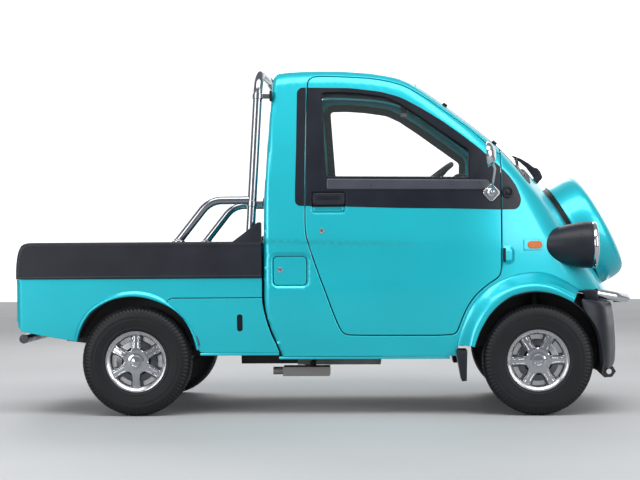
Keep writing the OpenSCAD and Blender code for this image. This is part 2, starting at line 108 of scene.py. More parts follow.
def plastic_mat(name, c, rough=0.5, grain=1500.0, strength=0.25, vary=0.15, spec=0.27):
    m, nt, b = new_mat(name)
    b.inputs["Specular IOR Level"].default_value = spec
    n = noise(nt, 9.0, 3.0)
    r = ramp(nt, n.outputs["Fac"], [(0.3, [x * (1 - vary) for x in c]), (0.7, [x * (1 + vary) for x in c])])
    nt.links.new(r.outputs["Color"], b.inputs["Base Color"])
    rr = ramp(nt, n.outputs["Fac"], [(0.3, rough * 0.9), (0.7, min(1, rough * 1.12))])
    nt.links.new(rr.outputs["Color"], b.inputs["Roughness"])
    g = noise(nt, grain, 2.0)
    bump(nt, b, g.outputs["Fac"], strength, 0.0005)
    return m

def chrome_mat(name, c=(0.56, 0.575, 0.60), rough=0.05):
    m, nt, b = new_mat(name)
    n = noise(nt, 25.0, 3.0)
    rr = ramp(nt, n.outputs["Fac"], [(0.35, rough * 0.7), (0.7, rough * 1.6)])
    nt.links.new(rr.outputs["Color"], b.inputs["Roughness"])
    r = ramp(nt, n.outputs["Fac"], [(0.3, [x * 0.96 for x in c]), (0.7, c)])
    nt.links.new(r.outputs["Color"], b.inputs["Base Color"])
    b.inputs["Metallic"].default_value = 1.0
    return m

def glass_mat(name, tint=(0.30, 0.36, 0.36), alpha=0.035, rough=0.0):
    m, nt, b = new_mat(name)
    n = noise(nt, 4.0, 2.0)
    r = ramp(nt, n.outputs["Fac"], [(0.2, [x * 0.97 for x in tint]), (0.8, tint)])
    nt.links.new(r.outputs["Color"], b.inputs["Base Color"])
    b.inputs["Roughness"].default_value = 0.02 + rough
    b.inputs["Alpha"].default_value = alpha
    b.inputs["IOR"].default_value = 1.45
    return m

def lens_mat(name, c, dark):
    m, nt, b = new_mat(name)
    tc = nt.nodes.new("ShaderNodeTexCoord")
    w = nt.nodes.new("ShaderNodeTexWave")
    w.wave_type = "BANDS"; w.bands_direction = "X"
    w.inputs["Scale"].default_value = 60.0
    nt.links.new(tc.outputs["Object"], w.inputs["Vector"])
    r = ramp(nt, w.outputs["Fac"], [(0.2, dark), (0.8, c)])
    nt.links.new(r.outputs["Color"], b.inputs["Base Color"])
    b.inputs["Roughness"].default_value = 0.30
    b.inputs["Specular IOR Level"].default_value = 0.25
    b.inputs["Coat Weight"].default_value = 0.25
    b.inputs["Coat Roughness"].default_value = 0.03
    bump(nt, b, w.outputs["Fac"], 0.3, 0.001)
    return m

def cloth_mat(name, c1, c2, scale=420.0):
    m, nt, b = new_mat(name)
    tc = nt.nodes.new("ShaderNodeTexCoord")
    w1 = nt.nodes.new("ShaderNodeTexWave"); w1.bands_direction = "Y"; w1.inputs["Scale"].default_value = scale
    w2 = nt.nodes.new("ShaderNodeTexWave"); w2.bands_direction = "DIAGONAL"; w2.inputs["Scale"].default_value = scale
    nt.links.new(tc.outputs["Object"], w1.inputs["Vector"]); nt.links.new(tc.outputs["Object"], w2.inputs["Vector"])
    mul = nt.nodes.new("ShaderNodeMath"); mul.operation = "MULTIPLY"
    nt.links.new(w1.outputs["Fac"], mul.inputs[0]); nt.links.new(w2.outputs["Fac"], mul.inputs[1])
    n = noise(nt, 14.0, 3.0)
    mx = nt.nodes.new("ShaderNodeMath"); mx.operation = "ADD"
    nt.links.new(mul.outputs[0], mx.inputs[0]); nt.links.new(n.outputs["Fac"], mx.inputs[1])
    r = ramp(nt, mx.outputs[0], [(0.4, c1), (1.0, c2)])
    nt.links.new(r.outputs["Color"], b.inputs["Base Color"])
    b.inputs["Roughness"].default_value = 0.92
    b.inputs["Sheen Weight"].default_value = 0.35
    bump(nt, b, mul.outputs[0], 0.35, 0.0008)
    return m

def dirty_metal(name, c, rough=0.6, metal=0.0, dust=(0.10, 0.085, 0.07)):
    m, nt, b = new_mat(name)
    n = noise(nt, 7.0, 5.0, 0.65)
    r = ramp(nt, n.outputs["Fac"], [(0.35, c), (0.75, [a * 0.7 + d * 0.3 for a, d in zip(c, dust)])])
    nt.links.new(r.outputs["Color"], b.inputs["Base Color"])
    rr = ramp(nt, n.outputs["Fac"], [(0.3, rough * 0.85), (0.7, min(1, rough * 1.2))])
    nt.links.new(rr.outputs["Color"], b.inputs["Roughness"])
    b.inputs["Metallic"].default_value = metal
    n2 = noise(nt, 120.0, 3.0)
    bump(nt, b, n2.outputs["Fac"], 0.25, 0.001)
    return m

PAINT = paint_mat("turquoise_metallic", (0.0, 0.46, 0.55), 0.50)
# darker copy of the body paint for the inner faces of the door skins: painted shade
PAINT_IN_SHADE = paint_mat("turquoise_inner_painted_shade", (0.0, 0.26, 0.30), 0.3)
BLACK = plastic_mat("black_moulding", (0.011, 0.013, 0.019), 0.40, 900.0, 0.25)
TRIM = plastic_mat("black_trim", (0.007, 0.009, 0.015), 0.34, 1600.0, 0.10)
RUBBER = plastic_mat("black_rubber", (0.0055, 0.006, 0.0075), 0.50, 700.0, 0.2, spec=0.28)
GREYS = plastic_mat("satin_grey_moulding", (0.040, 0.044, 0.056), 0.28, 1200.0, 0.06, spec=0.5)
GREY = plastic_mat("grey_inner_plastic", (0.10, 0.105, 0.11), 0.6, 900.0, 0.3)
LINER = plastic_mat("roof_lining", (0.13, 0.14, 0.145), 0.85, 500.0, 0.4)
SEAL = plastic_mat("seal_rubber", (0.004, 0.004, 0.005), 0.5, 1200.0, 0.1, spec=0.25)
CHROME = chrome_mat("chrome_plate")
STEEL = chrome_mat("satin_steel", (0.55, 0.55, 0.56), 0.28)
# darker copy of the wheel chrome for the low ground between the spokes: painted shade
RECESS_PAINTED_SHADE = chrome_mat("wheel_recess_painted_shade", (0.11, 0.115, 0.125), 0.20)
WHEEL = chrome_mat("wheel_chrome", (0.44, 0.455, 0.48), 0.06)
BAR = chrome_mat("tube_chrome", (0.30, 0.31, 0.335), 0.13)
DARK_TUBE = chrome_mat("dark_satin_tube", (0.10, 0.10, 0.11), 0.25)
MIRROR = chrome_mat("mirror_glass", (0.80, 0.83, 0.85), 0.02)
GLASS = glass_mat("clear_glass")
LAMP_GLASS = glass_mat("lamp_glass", (0.85, 0.88, 0.92), 0.15)
AMBER = lens_mat("amber_lens", (0.62, 0.15, 0.0), (0.34, 0.06, 0.0))
RED = lens_mat("red_lens", (0.55, 0.01, 0.01), (0.25, 0.0, 0.0))
LAMP_WHITE = lens_mat("clear_lens", (0.75, 0.76, 0.78), (0.45, 0.46, 0.48))
PLATE = plastic_mat("blank_plate", (0.80, 0.80, 0.78), 0.45, 300.0, 0.05, 0.03)
CLOTH = cloth_mat("seat_cloth", (0.045, 0.047, 0.055), (0.12, 0.125, 0.14))
VINYL = plastic_mat("seat_vinyl", (0.03, 0.03, 0.034), 0.55, 300.0, 0.35)
CHASSIS = dirty_metal("chassis_black", (0.012, 0.012, 0.012), 0.6)
CAST = dirty_metal("cast_alloy", (0.22, 0.22, 0.22), 0.55, 0.6)
BARE = dirty_metal("bare_steel", (0.25, 0.24, 0.23), 0.45, 0.8)
MAT_FLOOR = plastic_mat("floor_mat", (0.02, 0.02, 0.022), 0.9, 250.0, 0.6)

# ---------------------------------------------------------------- mesh helpers
ALL = []
def make(name, verts, faces, mat, body="truck", normals=None, smooth=True, slot=None, mats=None, fmat=None):
    me = bpy.data.meshes.new(name)
    me.from_pydata([tuple(map(float, v)) for v in verts], [], [tuple(int(i) for i in f) for f in faces])
    me.validate(clean_customdata=False)
    me.update()
    ob = bpy.data.objects.new(name, me)
    scene.collection.objects.link(ob)
    for m in (mats or [mat]):
        me.materials.append(m)
    if fmat is not None and len(fmat) == len(me.polygons):
        me.polygons.foreach_set("material_index", np.array(fmat, dtype=np.int32))
    if smooth:
        me.polygons.foreach_set("use_smooth", np.ones(len(me.polygons), dtype=bool))
    if normals is not None and len(normals) == len(me.vertices):
        me.normals_split_custom_set_from_vertices([tuple(map(float, n)) for n in normals])
    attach(ob, body)
    ob["slot_name"] = slot or ""
    ALL.append(ob)
    return ob

def sharpen(ob, angle=35):
    me = ob.data
    bm = bmesh.new(); bm.from_mesh(me)
    lim = math.radians(angle)
    for e in bm.edges:
        if len(e.link_faces) == 2 and e.calc_face_angle(0) > lim:
            e.smooth = False
    bm.to_mesh(me); bm.free()
    return ob

def fix_normals(ob):
    bm = bmesh.new(); bm.from_mesh(ob.data)
    bmesh.ops.remove_doubles(bm, verts=bm.verts, dist=1e-6)
    bmesh.ops.recalc_face_normals(bm, faces=bm.faces)
    bm.to_mesh(ob.data); bm.free()
    return ob

def grid_faces(n, m, wrap_n=False, wrap_m=False, off=0, flip=False):
    f = []
    for i in range(n if wrap_n else n - 1):
        for j in range(m if wrap_m else m - 1):
            a = i * m + j; b = i * m + (j + 1) % m
            c = ((i + 1) % n) * m + (j + 1) % m; d = ((i + 1) % n) * m + j
            f.append((a + off, d + off, c + off, b + off) if flip else (a + off, b + off, c + off, d + off))
    return f

def mirror_mesh(ob, name, body, mat=None):
    """The same piece on the other side of the truck, Y turned round."""
    me0 = ob.data
    n = len(me0.vertices)
    co = np.zeros(n * 3); me0.vertices.foreach_get("co", co); co = co.reshape(-1, 3); co[:, 1] *= -1
    faces = [tuple(reversed(p.vertices)) for p in me0.polygons]
    nor = None
    if me0.has_custom_normals:
        nor = np.zeros((n, 3))
        cn = np.zeros(len(me0.loops) * 3)
        me0.corner_normals.foreach_get("vector", cn); cn = cn.reshape(-1, 3)
        li = np.zeros(len(me0.loops), dtype=np.int32); me0.loops.foreach_get("vertex_index", li)
        nor[li] = cn; nor[:, 1] *= -1
    fm = [p.material_index for p in me0.polygons]
    sm = [p.use_smooth for p in me0.polygons]
    o2 = make(name, co, faces, mat, body, normals=nor, mats=list(me0.materials), fmat=fm, slot=ob["slot_name"] or None)
    o2.data.polygons.foreach_set("use_smooth", np.array(sm, dtype=bool))
    if nor is None:
        # carry sharp edges over
        sharp = {tuple(sorted(e.vertices)) for e in me0.edges if e.use_edge_sharp}
        for e in o2.data.edges:
            if tuple(sorted(e.vertices)) in sharp:
                e.use_edge_sharp = True
    return o2

def join(name, obs, body, slot=None):
    """Several meshes into one piece, each with its own material."""
    mats, V, Fc, FM, SM, sharp, off = [], [], [], [], [], [], 0
    for o in obs:
        idx = []
        for m in o.data.materials:
            if m not in mats:
                mats.append(m)
            idx.append(mats.index(m))
        for v in o.data.vertices:
            V.append(tuple(v.co))
        for p in o.data.polygons:
            Fc.append(tuple(i + off for i in p.vertices)); FM.append(idx[p.material_index] if idx else 0); SM.append(p.use_smooth)
        for e in o.data.edges:
            if e.use_edge_sharp:
                sharp.append((min(e.vertices) + off, max(e.vertices) + off))
        off += len(o.data.vertices)
    for o in obs:
        ALL.remove(o); bpy.data.objects.remove(o)
    ob = make(name, V, Fc, None, body, mats=mats, fmat=FM, slot=slot)
    ob.data.polygons.foreach_set("use_smooth", np.array(SM, dtype=bool))
    sharp = set(sharp)
    for e in ob.data.edges:
        if (min(e.vertices), max(e.vertices)) in sharp:
            e.use_edge_sharp = True
    return ob

def frame_from(d):
    d = np.array(d, float); d /= np.linalg.norm(d)
    a = np.array([0, 0, 1.0]) if abs(d[2]) < 0.9 else np.array([1.0, 0, 0])
    u = np.cross(a, d); u /= np.linalg.norm(u)
    return u, np.cross(d, u), d

def tube(name, pts, r, mat, body="truck", seg=20, cap=True, slot=None, radii=None, closed=False):
    """A round tube along a list of points."""
    P = np.array(pts, float); n = len(P)
    if closed:
        T = np.roll(P, -1, 0) - np.roll(P, 1, 0)
    else:
        T = np.gradient(P, axis=0)
    T /= np.linalg.norm(T, axis=1)[:, None]
    u, v, _ = frame_from(T[0])
    V = []
    R = radii if radii is not None else [r] * n
    for i in range(n):
        if i:
            ax = np.cross(T[i - 1], T[i]); s = np.linalg.norm(ax)
            if s > 1e-9:
                ang = math.atan2(s, float(np.dot(T[i - 1], T[i])))
                M = np.array(Matrix.Rotation(ang, 3, Vector(ax / s)))
                u = M @ u; v = M @ v
        for k in range(seg):
            a = 2 * math.pi * k / seg
            V.append(P[i] + R[i] * (math.cos(a) * u + math.sin(a) * v))
    F = grid_faces(n, seg, wrap_n=closed, wrap_m=True)
    if cap and not closed:
        F.append(tuple(range(seg - 1, -1, -1))); F.append(tuple((n - 1) * seg + k for k in range(seg)))
    ob = make(name, V, F, mat, body, slot=slot)
    fix_normals(ob); sharpen(ob, 50)
    return ob

def arc_path(pts, radius, n=10):
    """A polyline in 3D whose corners are rounded to arcs."""
    P = [np.array(p, float) for p in pts]
    rad = radius if hasattr(radius, "__len__") else [radius] * (len(P) - 2)
    out = [P[0]]
    for i in range(1, len(P) - 1):
        a, b, c = P[i - 1], P[i], P[i + 1]
        u = (a - b) / np.linalg.norm(a - b); v = (c - b) / np.linalg.norm(c - b)
        ang = math.acos(max(-1, min(1, float(np.dot(u, v)))))
        r = rad[i - 1]
        t = r / math.tan(ang / 2)
        ctr = b + (u + v) / np.linalg.norm(u + v) * (r / math.sin(ang / 2))
        p0 = b + u * t; p1 = b + v * t
        e0 = (p0 - ctr) / r; e1 = (p1 - ctr) / r
        om = math.acos(max(-1, min(1, float(np.dot(e0, e1)))))
        for k in range(n + 1):
            s = k / n
            out.append(ctr + r * (math.sin((1 - s) * om) * e0 + math.sin(s * om) * e1) / math.sin(om))
    out.append(P[-1])
    # even out long straight runs
    res = [out[0]]
    for a, b in zip(out[:-1], out[1:]):
        m = max(1, int(np.linalg.norm(b - a) / 0.06))
        for k in range(1, m + 1):
            res.append(a + (b - a) * k / m)
    return res

def lathe(name, prof, origin, axis, mat, body="truck", seg=64, slot=None, up=None, sharp=30):
    """A turned piece: prof is (radius, distance along the axis) from one end to the other."""
    u, v, d = frame_from(axis)
    O = np.array(origin, float); V = []; F = []
    rows = []
    for r, h in prof:
        if r < 1e-6:
            V.append(O + d * h); rows.append([len(V) - 1])
        else:
            s = len(V)
            for k in range(seg):
                a = 2 * math.pi * k / seg
                V.append(O + d * h + r * (math.cos(a) * u + math.sin(a) * v))
            rows.append(list(range(s, s + seg)))
    for A, B in zip(rows[:-1], rows[1:]):
        for k in range(seg):
            k2 = (k + 1) % seg
            if len(A) == 1 and len(B) == 1: continue
            if len(A) == 1: F.append((A[0], B[k2], B[k]))
            elif len(B) == 1: F.append((A[k], A[k2], B[0]))
            else: F.append((A[k], A[k2], B[k2], B[k]))
    ob = make(name, V, F, mat, body, slot=slot)
    fix_normals(ob)
    sharpen(ob, sharp)
    return ob

def rbox(name, lo, hi, mat, body="truck", r=0.004, seg=2, slot=None, rot=None, pivot=None):
    """A block with rounded edges."""
    bm = bmesh.new()
    bmesh.ops.create_cube(bm, size=1.0)
    lo, hi = Vector(lo), Vector(hi)
    for v in bm.verts:
        v.co = Vector(((lo[k] + hi[k]) / 2 + v.co[k] * (hi[k] - lo[k])) for k in range(3))
    if r > 0:
        bmesh.ops.bevel(bm, geom=list(bm.edges), offset=r, segments=seg, profile=0.5, affect="EDGES", clamp_overlap=True)
    if rot:
        p = Vector(pivot) if pivot else (lo + hi) / 2
        M = Matrix.Translation(p) @ Matrix.Rotation(math.radians(rot[1]), 4, rot[0]) @ Matrix.Translation(-p)
        bmesh.ops.transform(bm, matrix=M, verts=bm.verts)
    V = [tuple(v.co) for v in bm.verts]; F = [tuple(v.index for v in f.verts) for f in bm.faces]
    bm.free()
    ob = make(name, V, F, mat, body, slot=slot)
    sharpen(ob, 60)
    return ob

def prism(name, outline, axis, a, b, mat, body="truck", r=0.003, seg=2, slot=None):
    """An outline pushed along an axis, with rounded edges. axis y: outline is (x, z)."""
    bm = bmesh.new()
    def at(p, h):
        return {"y": (p[0], h, p[1]), "x": (h, p[0], p[1]), "z": (p[0], p[1], h)}[axis]
    lo = [bm.verts.new(at(p, a)) for p in outline]; hi = [bm.verts.new(at(p, b)) for p in outline]
    n = len(outline)
    bm.faces.new(lo); bm.faces.new(hi[::-1])
    for i in range(n):
        bm.faces.new((lo[i], hi[i], hi[(i + 1) % n], lo[(i + 1) % n]))
    bmesh.ops.recalc_face_normals(bm, faces=bm.faces)
    if r > 0:
        es = [e for e in bm.edges if len(e.link_faces) == 2 and e.calc_face_angle(0) > math.radians(25)]
        bmesh.ops.bevel(bm, geom=es, offset=r, segments=seg, profile=0.5, affect="EDGES", clamp_overlap=True)
    big = [f for f in bm.faces if len(f.verts) > 4]
    bmesh.ops.triangulate(bm, faces=big)
    V = [tuple(v.co) for v in bm.verts]; F = [tuple(v.index for v in f.verts) for f in bm.faces]
    bm.free()
    ob = make(name, V, F, mat, body, slot=slot)
    fix_normals(ob); sharpen(ob, 40)
    return ob

# ---------------------------------------------------------------- body surface
def table(pts, sigma=0.02, lo=0.25, hi=0.25):
    p = np.array(pts, float); p = p[np.argsort(p[:, 0])]
    xs = np.arange(p[0, 0] - lo, p[-1, 0] + hi, 0.001)
    v = np.interp(xs, p[:, 0], p[:, 1])
    s0 = (p[1, 1] - p[0, 1]) / (p[1, 0] - p[0, 0]); s1 = (p[-1, 1] - p[-2, 1]) / (p[-1, 0] - p[-2, 0])
    v = np.where(xs < p[0, 0], p[0, 1] + s0 * (xs - p[0, 0]), v)
    v = np.where(xs > p[-1, 0], p[-1, 1] + s1 * (xs - p[-1, 0]), v)
    h = int(3 * sigma * 1000); k = np.exp(-0.5 * (np.arange(-h, h + 1) / (sigma * 1000)) ** 2); k /= k.sum()
    vp = np.concatenate([v[0] + s0 * 0.001 * np.arange(-h, 0), v, v[-1] + s1 * 0.001 * np.arange(1, h + 1)])
    v = np.convolve(vp, k, "valid")
    return lambda t: np.interp(t, xs, v)

def sstep(t):
    t = np.clip(t, 0, 1)
    return t * t * (3 - 2 * t)

B_ = table([(.27, .590), (.40, .604), (.60, .615), (.72, .6195), (.80, .622), (.95, .610), (1.10, .597), (1.20, .583),
            (1.30, .567), (1.45, .540), (1.60, .513)], 0.03)
ZR = table([(-.30, 1.606), (-.24, 1.618), (-.19, 1.626), (-.086, 1.630), (.057, 1.629), (.2, 1.618), (.294, 1.602), (.342, 1.590), (.396, 1.567),
            (.487, 1.509), (.583, 1.440), (.68, 1.367), (.794, 1.274), (.88, 1.196), (.967, 1.117), (1.0, 1.087), (1.06, 1.031)], 0.018)
XR = table([(.25, -.205), (.302, -.222), (.395, -.262), (.45, -.279), (.487, -.288), (.533, -.292), (.807, -.290), (.977, -.289), (1.128, -.280),
            (1.314, -.268), (1.478, -.255), (1.579, -.249), (1.64, -.244)], 0.015)

def width(x, z, crease=True):
    w = B_(z) - 0.45 * np.maximum(0, x - 0.55) ** 2
    if crease:
        zc = 0.800 - 0.025 * np.clip((x + 0.25) / 0.85, 0, 1)
        w = w - 0.0068 * sstep((zc + 0.011 - z) / 0.022) * sstep((0.68 - x) / 0.55) * sstep((z - 0.55) / 0.2)
    return w

def rmin(a, b, r):
    return np.maximum(r, np.minimum(a, b)) - np.sqrt(np.maximum(r - a, 0) ** 2 + np.maximum(r - b, 0) ** 2)

def F(p):
    x, y, z = p[..., 0], np.abs(p[..., 1]), p[..., 2]
    fs = width(x, z) - y
    k = 0.165 + 0.039 * sstep((x - 0.3) / 0.25)
    sl = (ZR(x + 0.01) - ZR(x - 0.01)) / 0.02
    fu = (ZR(x) - k * y * y - z) / np.sqrt(1 + sl * sl)
    fn = (1.066 - 0.554 * (z - 1.042) - 0.45 * y * y - x) * 0.875
    fr = x - XR(z)
    g = rmin(fs, fu, 0.055)
    g = rmin(g, fn, 0.075)
    return rmin(g, fr, 0.022)

def grad(p, h=6e-4):
    g = np.stack([(F(p + np.eye(3)[i] * h) - F(p - np.eye(3)[i] * h)) / (2 * h) for i in range(3)], -1)
    return g

def out_normal(p):
    g = grad(p)
    return -g / np.maximum(np.linalg.norm(g, axis=-1, keepdims=True), 1e-9)

def ray(o, d, t0, t1, n=26):
    """The place on the surface between o + t0 d (inside) and o + t1 d (outside)."""
    a = np.full(len(o), float(t0)); b = np.full(len(o), float(t1))
    for _ in range(n):
        m = (a + b) / 2
        ins = F(o + d * m[:, None]) > 0
        a = np.where(ins, m, a); b = np.where(ins, b, m)
    return o + d * ((a + b) / 2)[:, None]

def newton(p, n=6):
    for _ in range(n):
        g = grad(p); f = F(p)
        p = p - g * (f / np.maximum((g * g).sum(-1), 1e-6))[:, None]
    return p

PY, PR = 0.25, 0.28
def dom_side(q):
    """(x, s): straight across at height s below the shoulder, then turning round a line inside the cab. Right side, y < 0."""
    x, s = q[:, 0], q[:, 1]
    zc = np.minimum(1.40, ZR(x) - 0.23)
    ph = np.maximum(0, (s - zc) / PR)
    o = np.stack([x, np.full_like(x, -PY), np.minimum(s, zc)], 1)
    d = np.stack([0 * x, -np.cos(ph), np.sin(ph)], 1)
    return ray(o, d, 0, 0.6)

def to_side(p):
    """The inverse of dom_side for points on the surface."""
    x, y, z = p[:, 0], p[:, 1], p[:, 2]
    zc = np.minimum(1.40, ZR(x) - 0.23)
    ph = np.arctan2(z - zc, -(y + PY))
    return np.stack([x, np.where(z <= zc, z, zc + PR * ph)], 1)

def side3(pts):
    """(x, z) outline seen from the side, as places on the surface."""
    q = np.array(pts, float)
    o = np.stack([q[:, 0], np.zeros(len(q)), q[:, 1]], 1)
    return ray(o, np.tile([0, -1.0, 0], (len(q), 1)), 0, 0.75)

FR = 0.6
def nose_x(z): return 1.066 - 0.554 * (z - 1.042)
def dom_front(q):
    a, z = q[:, 0], q[:, 1]
    xp = nose_x(z) - 0.45
    al = np.maximum(0, (a - xp) / FR)
    o = np.stack([np.minimum(a, xp), 0 * a, z], 1)
    d = np.stack([np.sin(al), -np.cos(al), 0 * a], 1)
    return ray(o, d, 0, 0.9)

def to_front(p):
    xp = nose_x(p[:, 2]) - 0.45
    al = np.arctan2(p[:, 0] - xp, -p[:, 1])
    return np.stack([np.where(p[:, 0] <= xp, p[:, 0], xp + FR * al), p[:, 2]], 1)

def dom_top(q):
    o = np.stack([q[:, 0], q[:, 1], np.full(len(q), 0.8)], 1)
    return ray(o, np.tile([0, 0, 1.0], (len(q), 1)), 0, 1.0)

def dom_nose(q):
    o = np.stack([np.full(len(q), 0.3), q[:, 0], q[:, 1]], 1)
    return ray(o, np.tile([1.0, 0, 0], (len(q), 1)), 0, 1.3)

def dom_rear(q):
    o = np.stack([np.full(len(q), 0.1), q[:, 0], q[:, 1]], 1)
    return ray(o, np.tile([-1.0, 0, 0], (len(q), 1)), 0, 0.8)

# ---------------------------------------------------------------- outlines
def dense(pts, step=0.008, closed=True):
    """Resampled so that no side is longer than step; corners are kept."""
    P = [np.array(p, float) for p in pts]; out = []
    n = len(P)
    for i in range(n if closed else n - 1):
        a, b = P[i], P[(i + 1) % n]
        m = max(1, int(math.ceil(np.linalg.norm(b - a) / step)))
        out += [a + (b - a) * k / m for k in range(m)]
    if not closed: out.append(P[-1])
    return np.array(out)

def ccw(P):
    x, y = P[:, 0], P[:, 1]
    return P if np.sum(x * np.roll(y, -1) - y * np.roll(x, -1)) > 0 else P[::-1]

def smooth_loop(pts, step=0.008, corners=(), it=3):
    """Corner cutting that keeps the listed corners sharp."""
    P = [np.array(p, float) for p in pts]; keep = [i in corners for i in range(len(P))]
    for _ in range(it):
        Q, K = [], []
        n = len(P)
        for i in range(n):
            a, b = P[i], P[(i + 1) % n]
            if keep[i]: Q.append(a); K.append(True)
            L = np.linalg.norm(b - a)
            if not keep[i]: Q.append(a + (b - a) * 0.25); K.append(False)
            if not keep[(i + 1) % n]: Q.append(a + (b - a) * 0.75); K.append(False)
        P, keep = Q, K
    return dense(P, step)

def fillet(pts, r, step=0.006, n=7):
    """Closed outline with each corner turned to an arc of radius r (one value or one for each corner)."""
    P = [np.array(p, float) for p in pts]; N = len(P); out = []
    for i in range(N):
        a, b, c = P[i - 1], P[i], P[(i + 1) % N]
        ri = r if np.isscalar(r) else r[i]
        u, v = a - b, c - b; lu, lv = np.linalg.norm(u), np.linalg.norm(v); u, v = u / lu, v / lv
        cs = float(np.clip(np.dot(u, v), -1, 1)); ang = math.acos(cs)
        if ri <= 0 or ang > math.pi - 0.01: out.append(b); continue
        t = min(ri / math.tan(ang / 2), 0.49 * lu, 0.49 * lv)
        R = t * math.tan(ang / 2)
        p0, p1 = b + u * t, b + v * t
        m = u + v; m /= np.linalg.norm(m)
        ctr = b + m * (R / math.sin(ang / 2))
        a0 = math.atan2(*(p0 - ctr)[::-1]); a1 = math.atan2(*(p1 - ctr)[::-1])
        d = (a1 - a0 + math.pi) % (2 * math.pi) - math.pi
        k = max(2, int(min(n, math.ceil(abs(d) / 0.2))))
        out += [ctr + R * np.array([math.cos(a0 + d * j / k), math.sin(a0 + d * j / k)]) for j in range(k + 1)]
    res = dense(out, step)
    keep = np.linalg.norm(res - np.roll(res, 1, 0), axis=1) > 2e-4
    return res[keep]

def edge_n(P):
    """Inward unit normals at the points of an anticlockwise loop."""
    a = P - np.roll(P, 1, 0); b = np.roll(P, -1, 0) - P
    a /= np.maximum(np.linalg.norm(a, axis=1, keepdims=True), 1e-12); b /= np.maximum(np.linalg.norm(b, axis=1, keepdims=True), 1e-12)
    na = np.stack([-a[:, 1], a[:, 0]], 1); nb = np.stack([-b[:, 1], b[:, 0]], 1)
    m = na + nb
    return m / np.maximum(1 + (na * nb).sum(1, keepdims=True), 0.35)

def offset(P, d):
    return P + edge_n(P) * (d if np.isscalar(d) else np.asarray(d)[:, None])

def inside(pts, loop):
    x, y = pts[:, 0], pts[:, 1]; r = np.zeros(len(pts), bool)
    x0, y0 = loop[:, 0], loop[:, 1]; x1, y1 = np.roll(x0, -1), np.roll(y0, -1)
    for i in range(len(loop)):
        c = (y0[i] > y) != (y1[i] > y)
        if not c.any(): continue
        t = (y - y0[i]) / (y1[i] - y0[i] + 1e-30) * (x1[i] - x0[i]) + x0[i]
        r ^= c & (x < t)
    return r

def seg_dist(pts, loop):
    """Least distance from points to the loop's corners, good enough to keep grid points off the edges."""
    d = np.full(len(pts), 9.0)
    for i in range(0, len(loop), 512):
        L = loop[i:i + 512]
        d = np.minimum(d, np.sqrt(((pts[:, None] - L[None]) ** 2).sum(-1)).min(1))
    return d

class Geo:
    def __init__(s): s.V = []; s.Fc = []; s.N = []; s.M = []; s.n = 0
    def add(s, V, faces, N, mat=0):
        """faces with a normal for each corner (a list of arrays) or None for a flat face."""
        s.V.append(np.asarray(V, float)); o = s.n; s.n += len(V)
        for i, f in enumerate(faces):
            s.Fc.append(tuple(int(k) + o for k in f)); s.N.append(None if N is None else N[i])
            s.M.append(mat if np.isscalar(mat) else mat[i])
    def merge(s, g, mat=None):
        V = np.concatenate(g.V); o = s.n; s.V.append(V); s.n += len(V)
        for f, n, m in zip(g.Fc, g.N, g.M):
            s.Fc.append(tuple(k + o for k in f)); s.N.append(n); s.M.append(m if mat is None else mat)
    def emit(s, name, mats, body="truck", slot=None, flip=False):
        V = np.concatenate(s.V).copy(); 
        faces = s.Fc; N = s.N
        if flip:
            V[:, 1] *= -1
            faces = [tuple(reversed(f)) for f in faces]
            N = [None if n is None else np.asarray(n)[::-1] * [1, -1, 1] for n in N]
        me = bpy.data.meshes.new(name)
        me.from_pydata([tuple(v) for v in V.tolist()], [], faces)
        for m in mats: me.materials.append(m)
        me.polygons.foreach_set("material_index", np.array(s.M, dtype=np.int32))
        me.polygons.foreach_set("use_smooth", np.array([n is not None for n in N], dtype=bool))
        me.update()
        L = []
        fn = [tuple(p.normal) for p in me.polygons]
        for f, n, q in zip(faces, N, fn):
            if n is None: L += [q] * len(f)
            else: L += [tuple(v) for v in np.asarray(n).tolist()]
        me.normals_split_custom_set(L)
        ob = bpy.data.objects.new(name, me)
        scene.collection.objects.link(ob)
        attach(ob, body)
        ob["slot_name"] = slot or ""
        ALL.append(ob)
        return ob

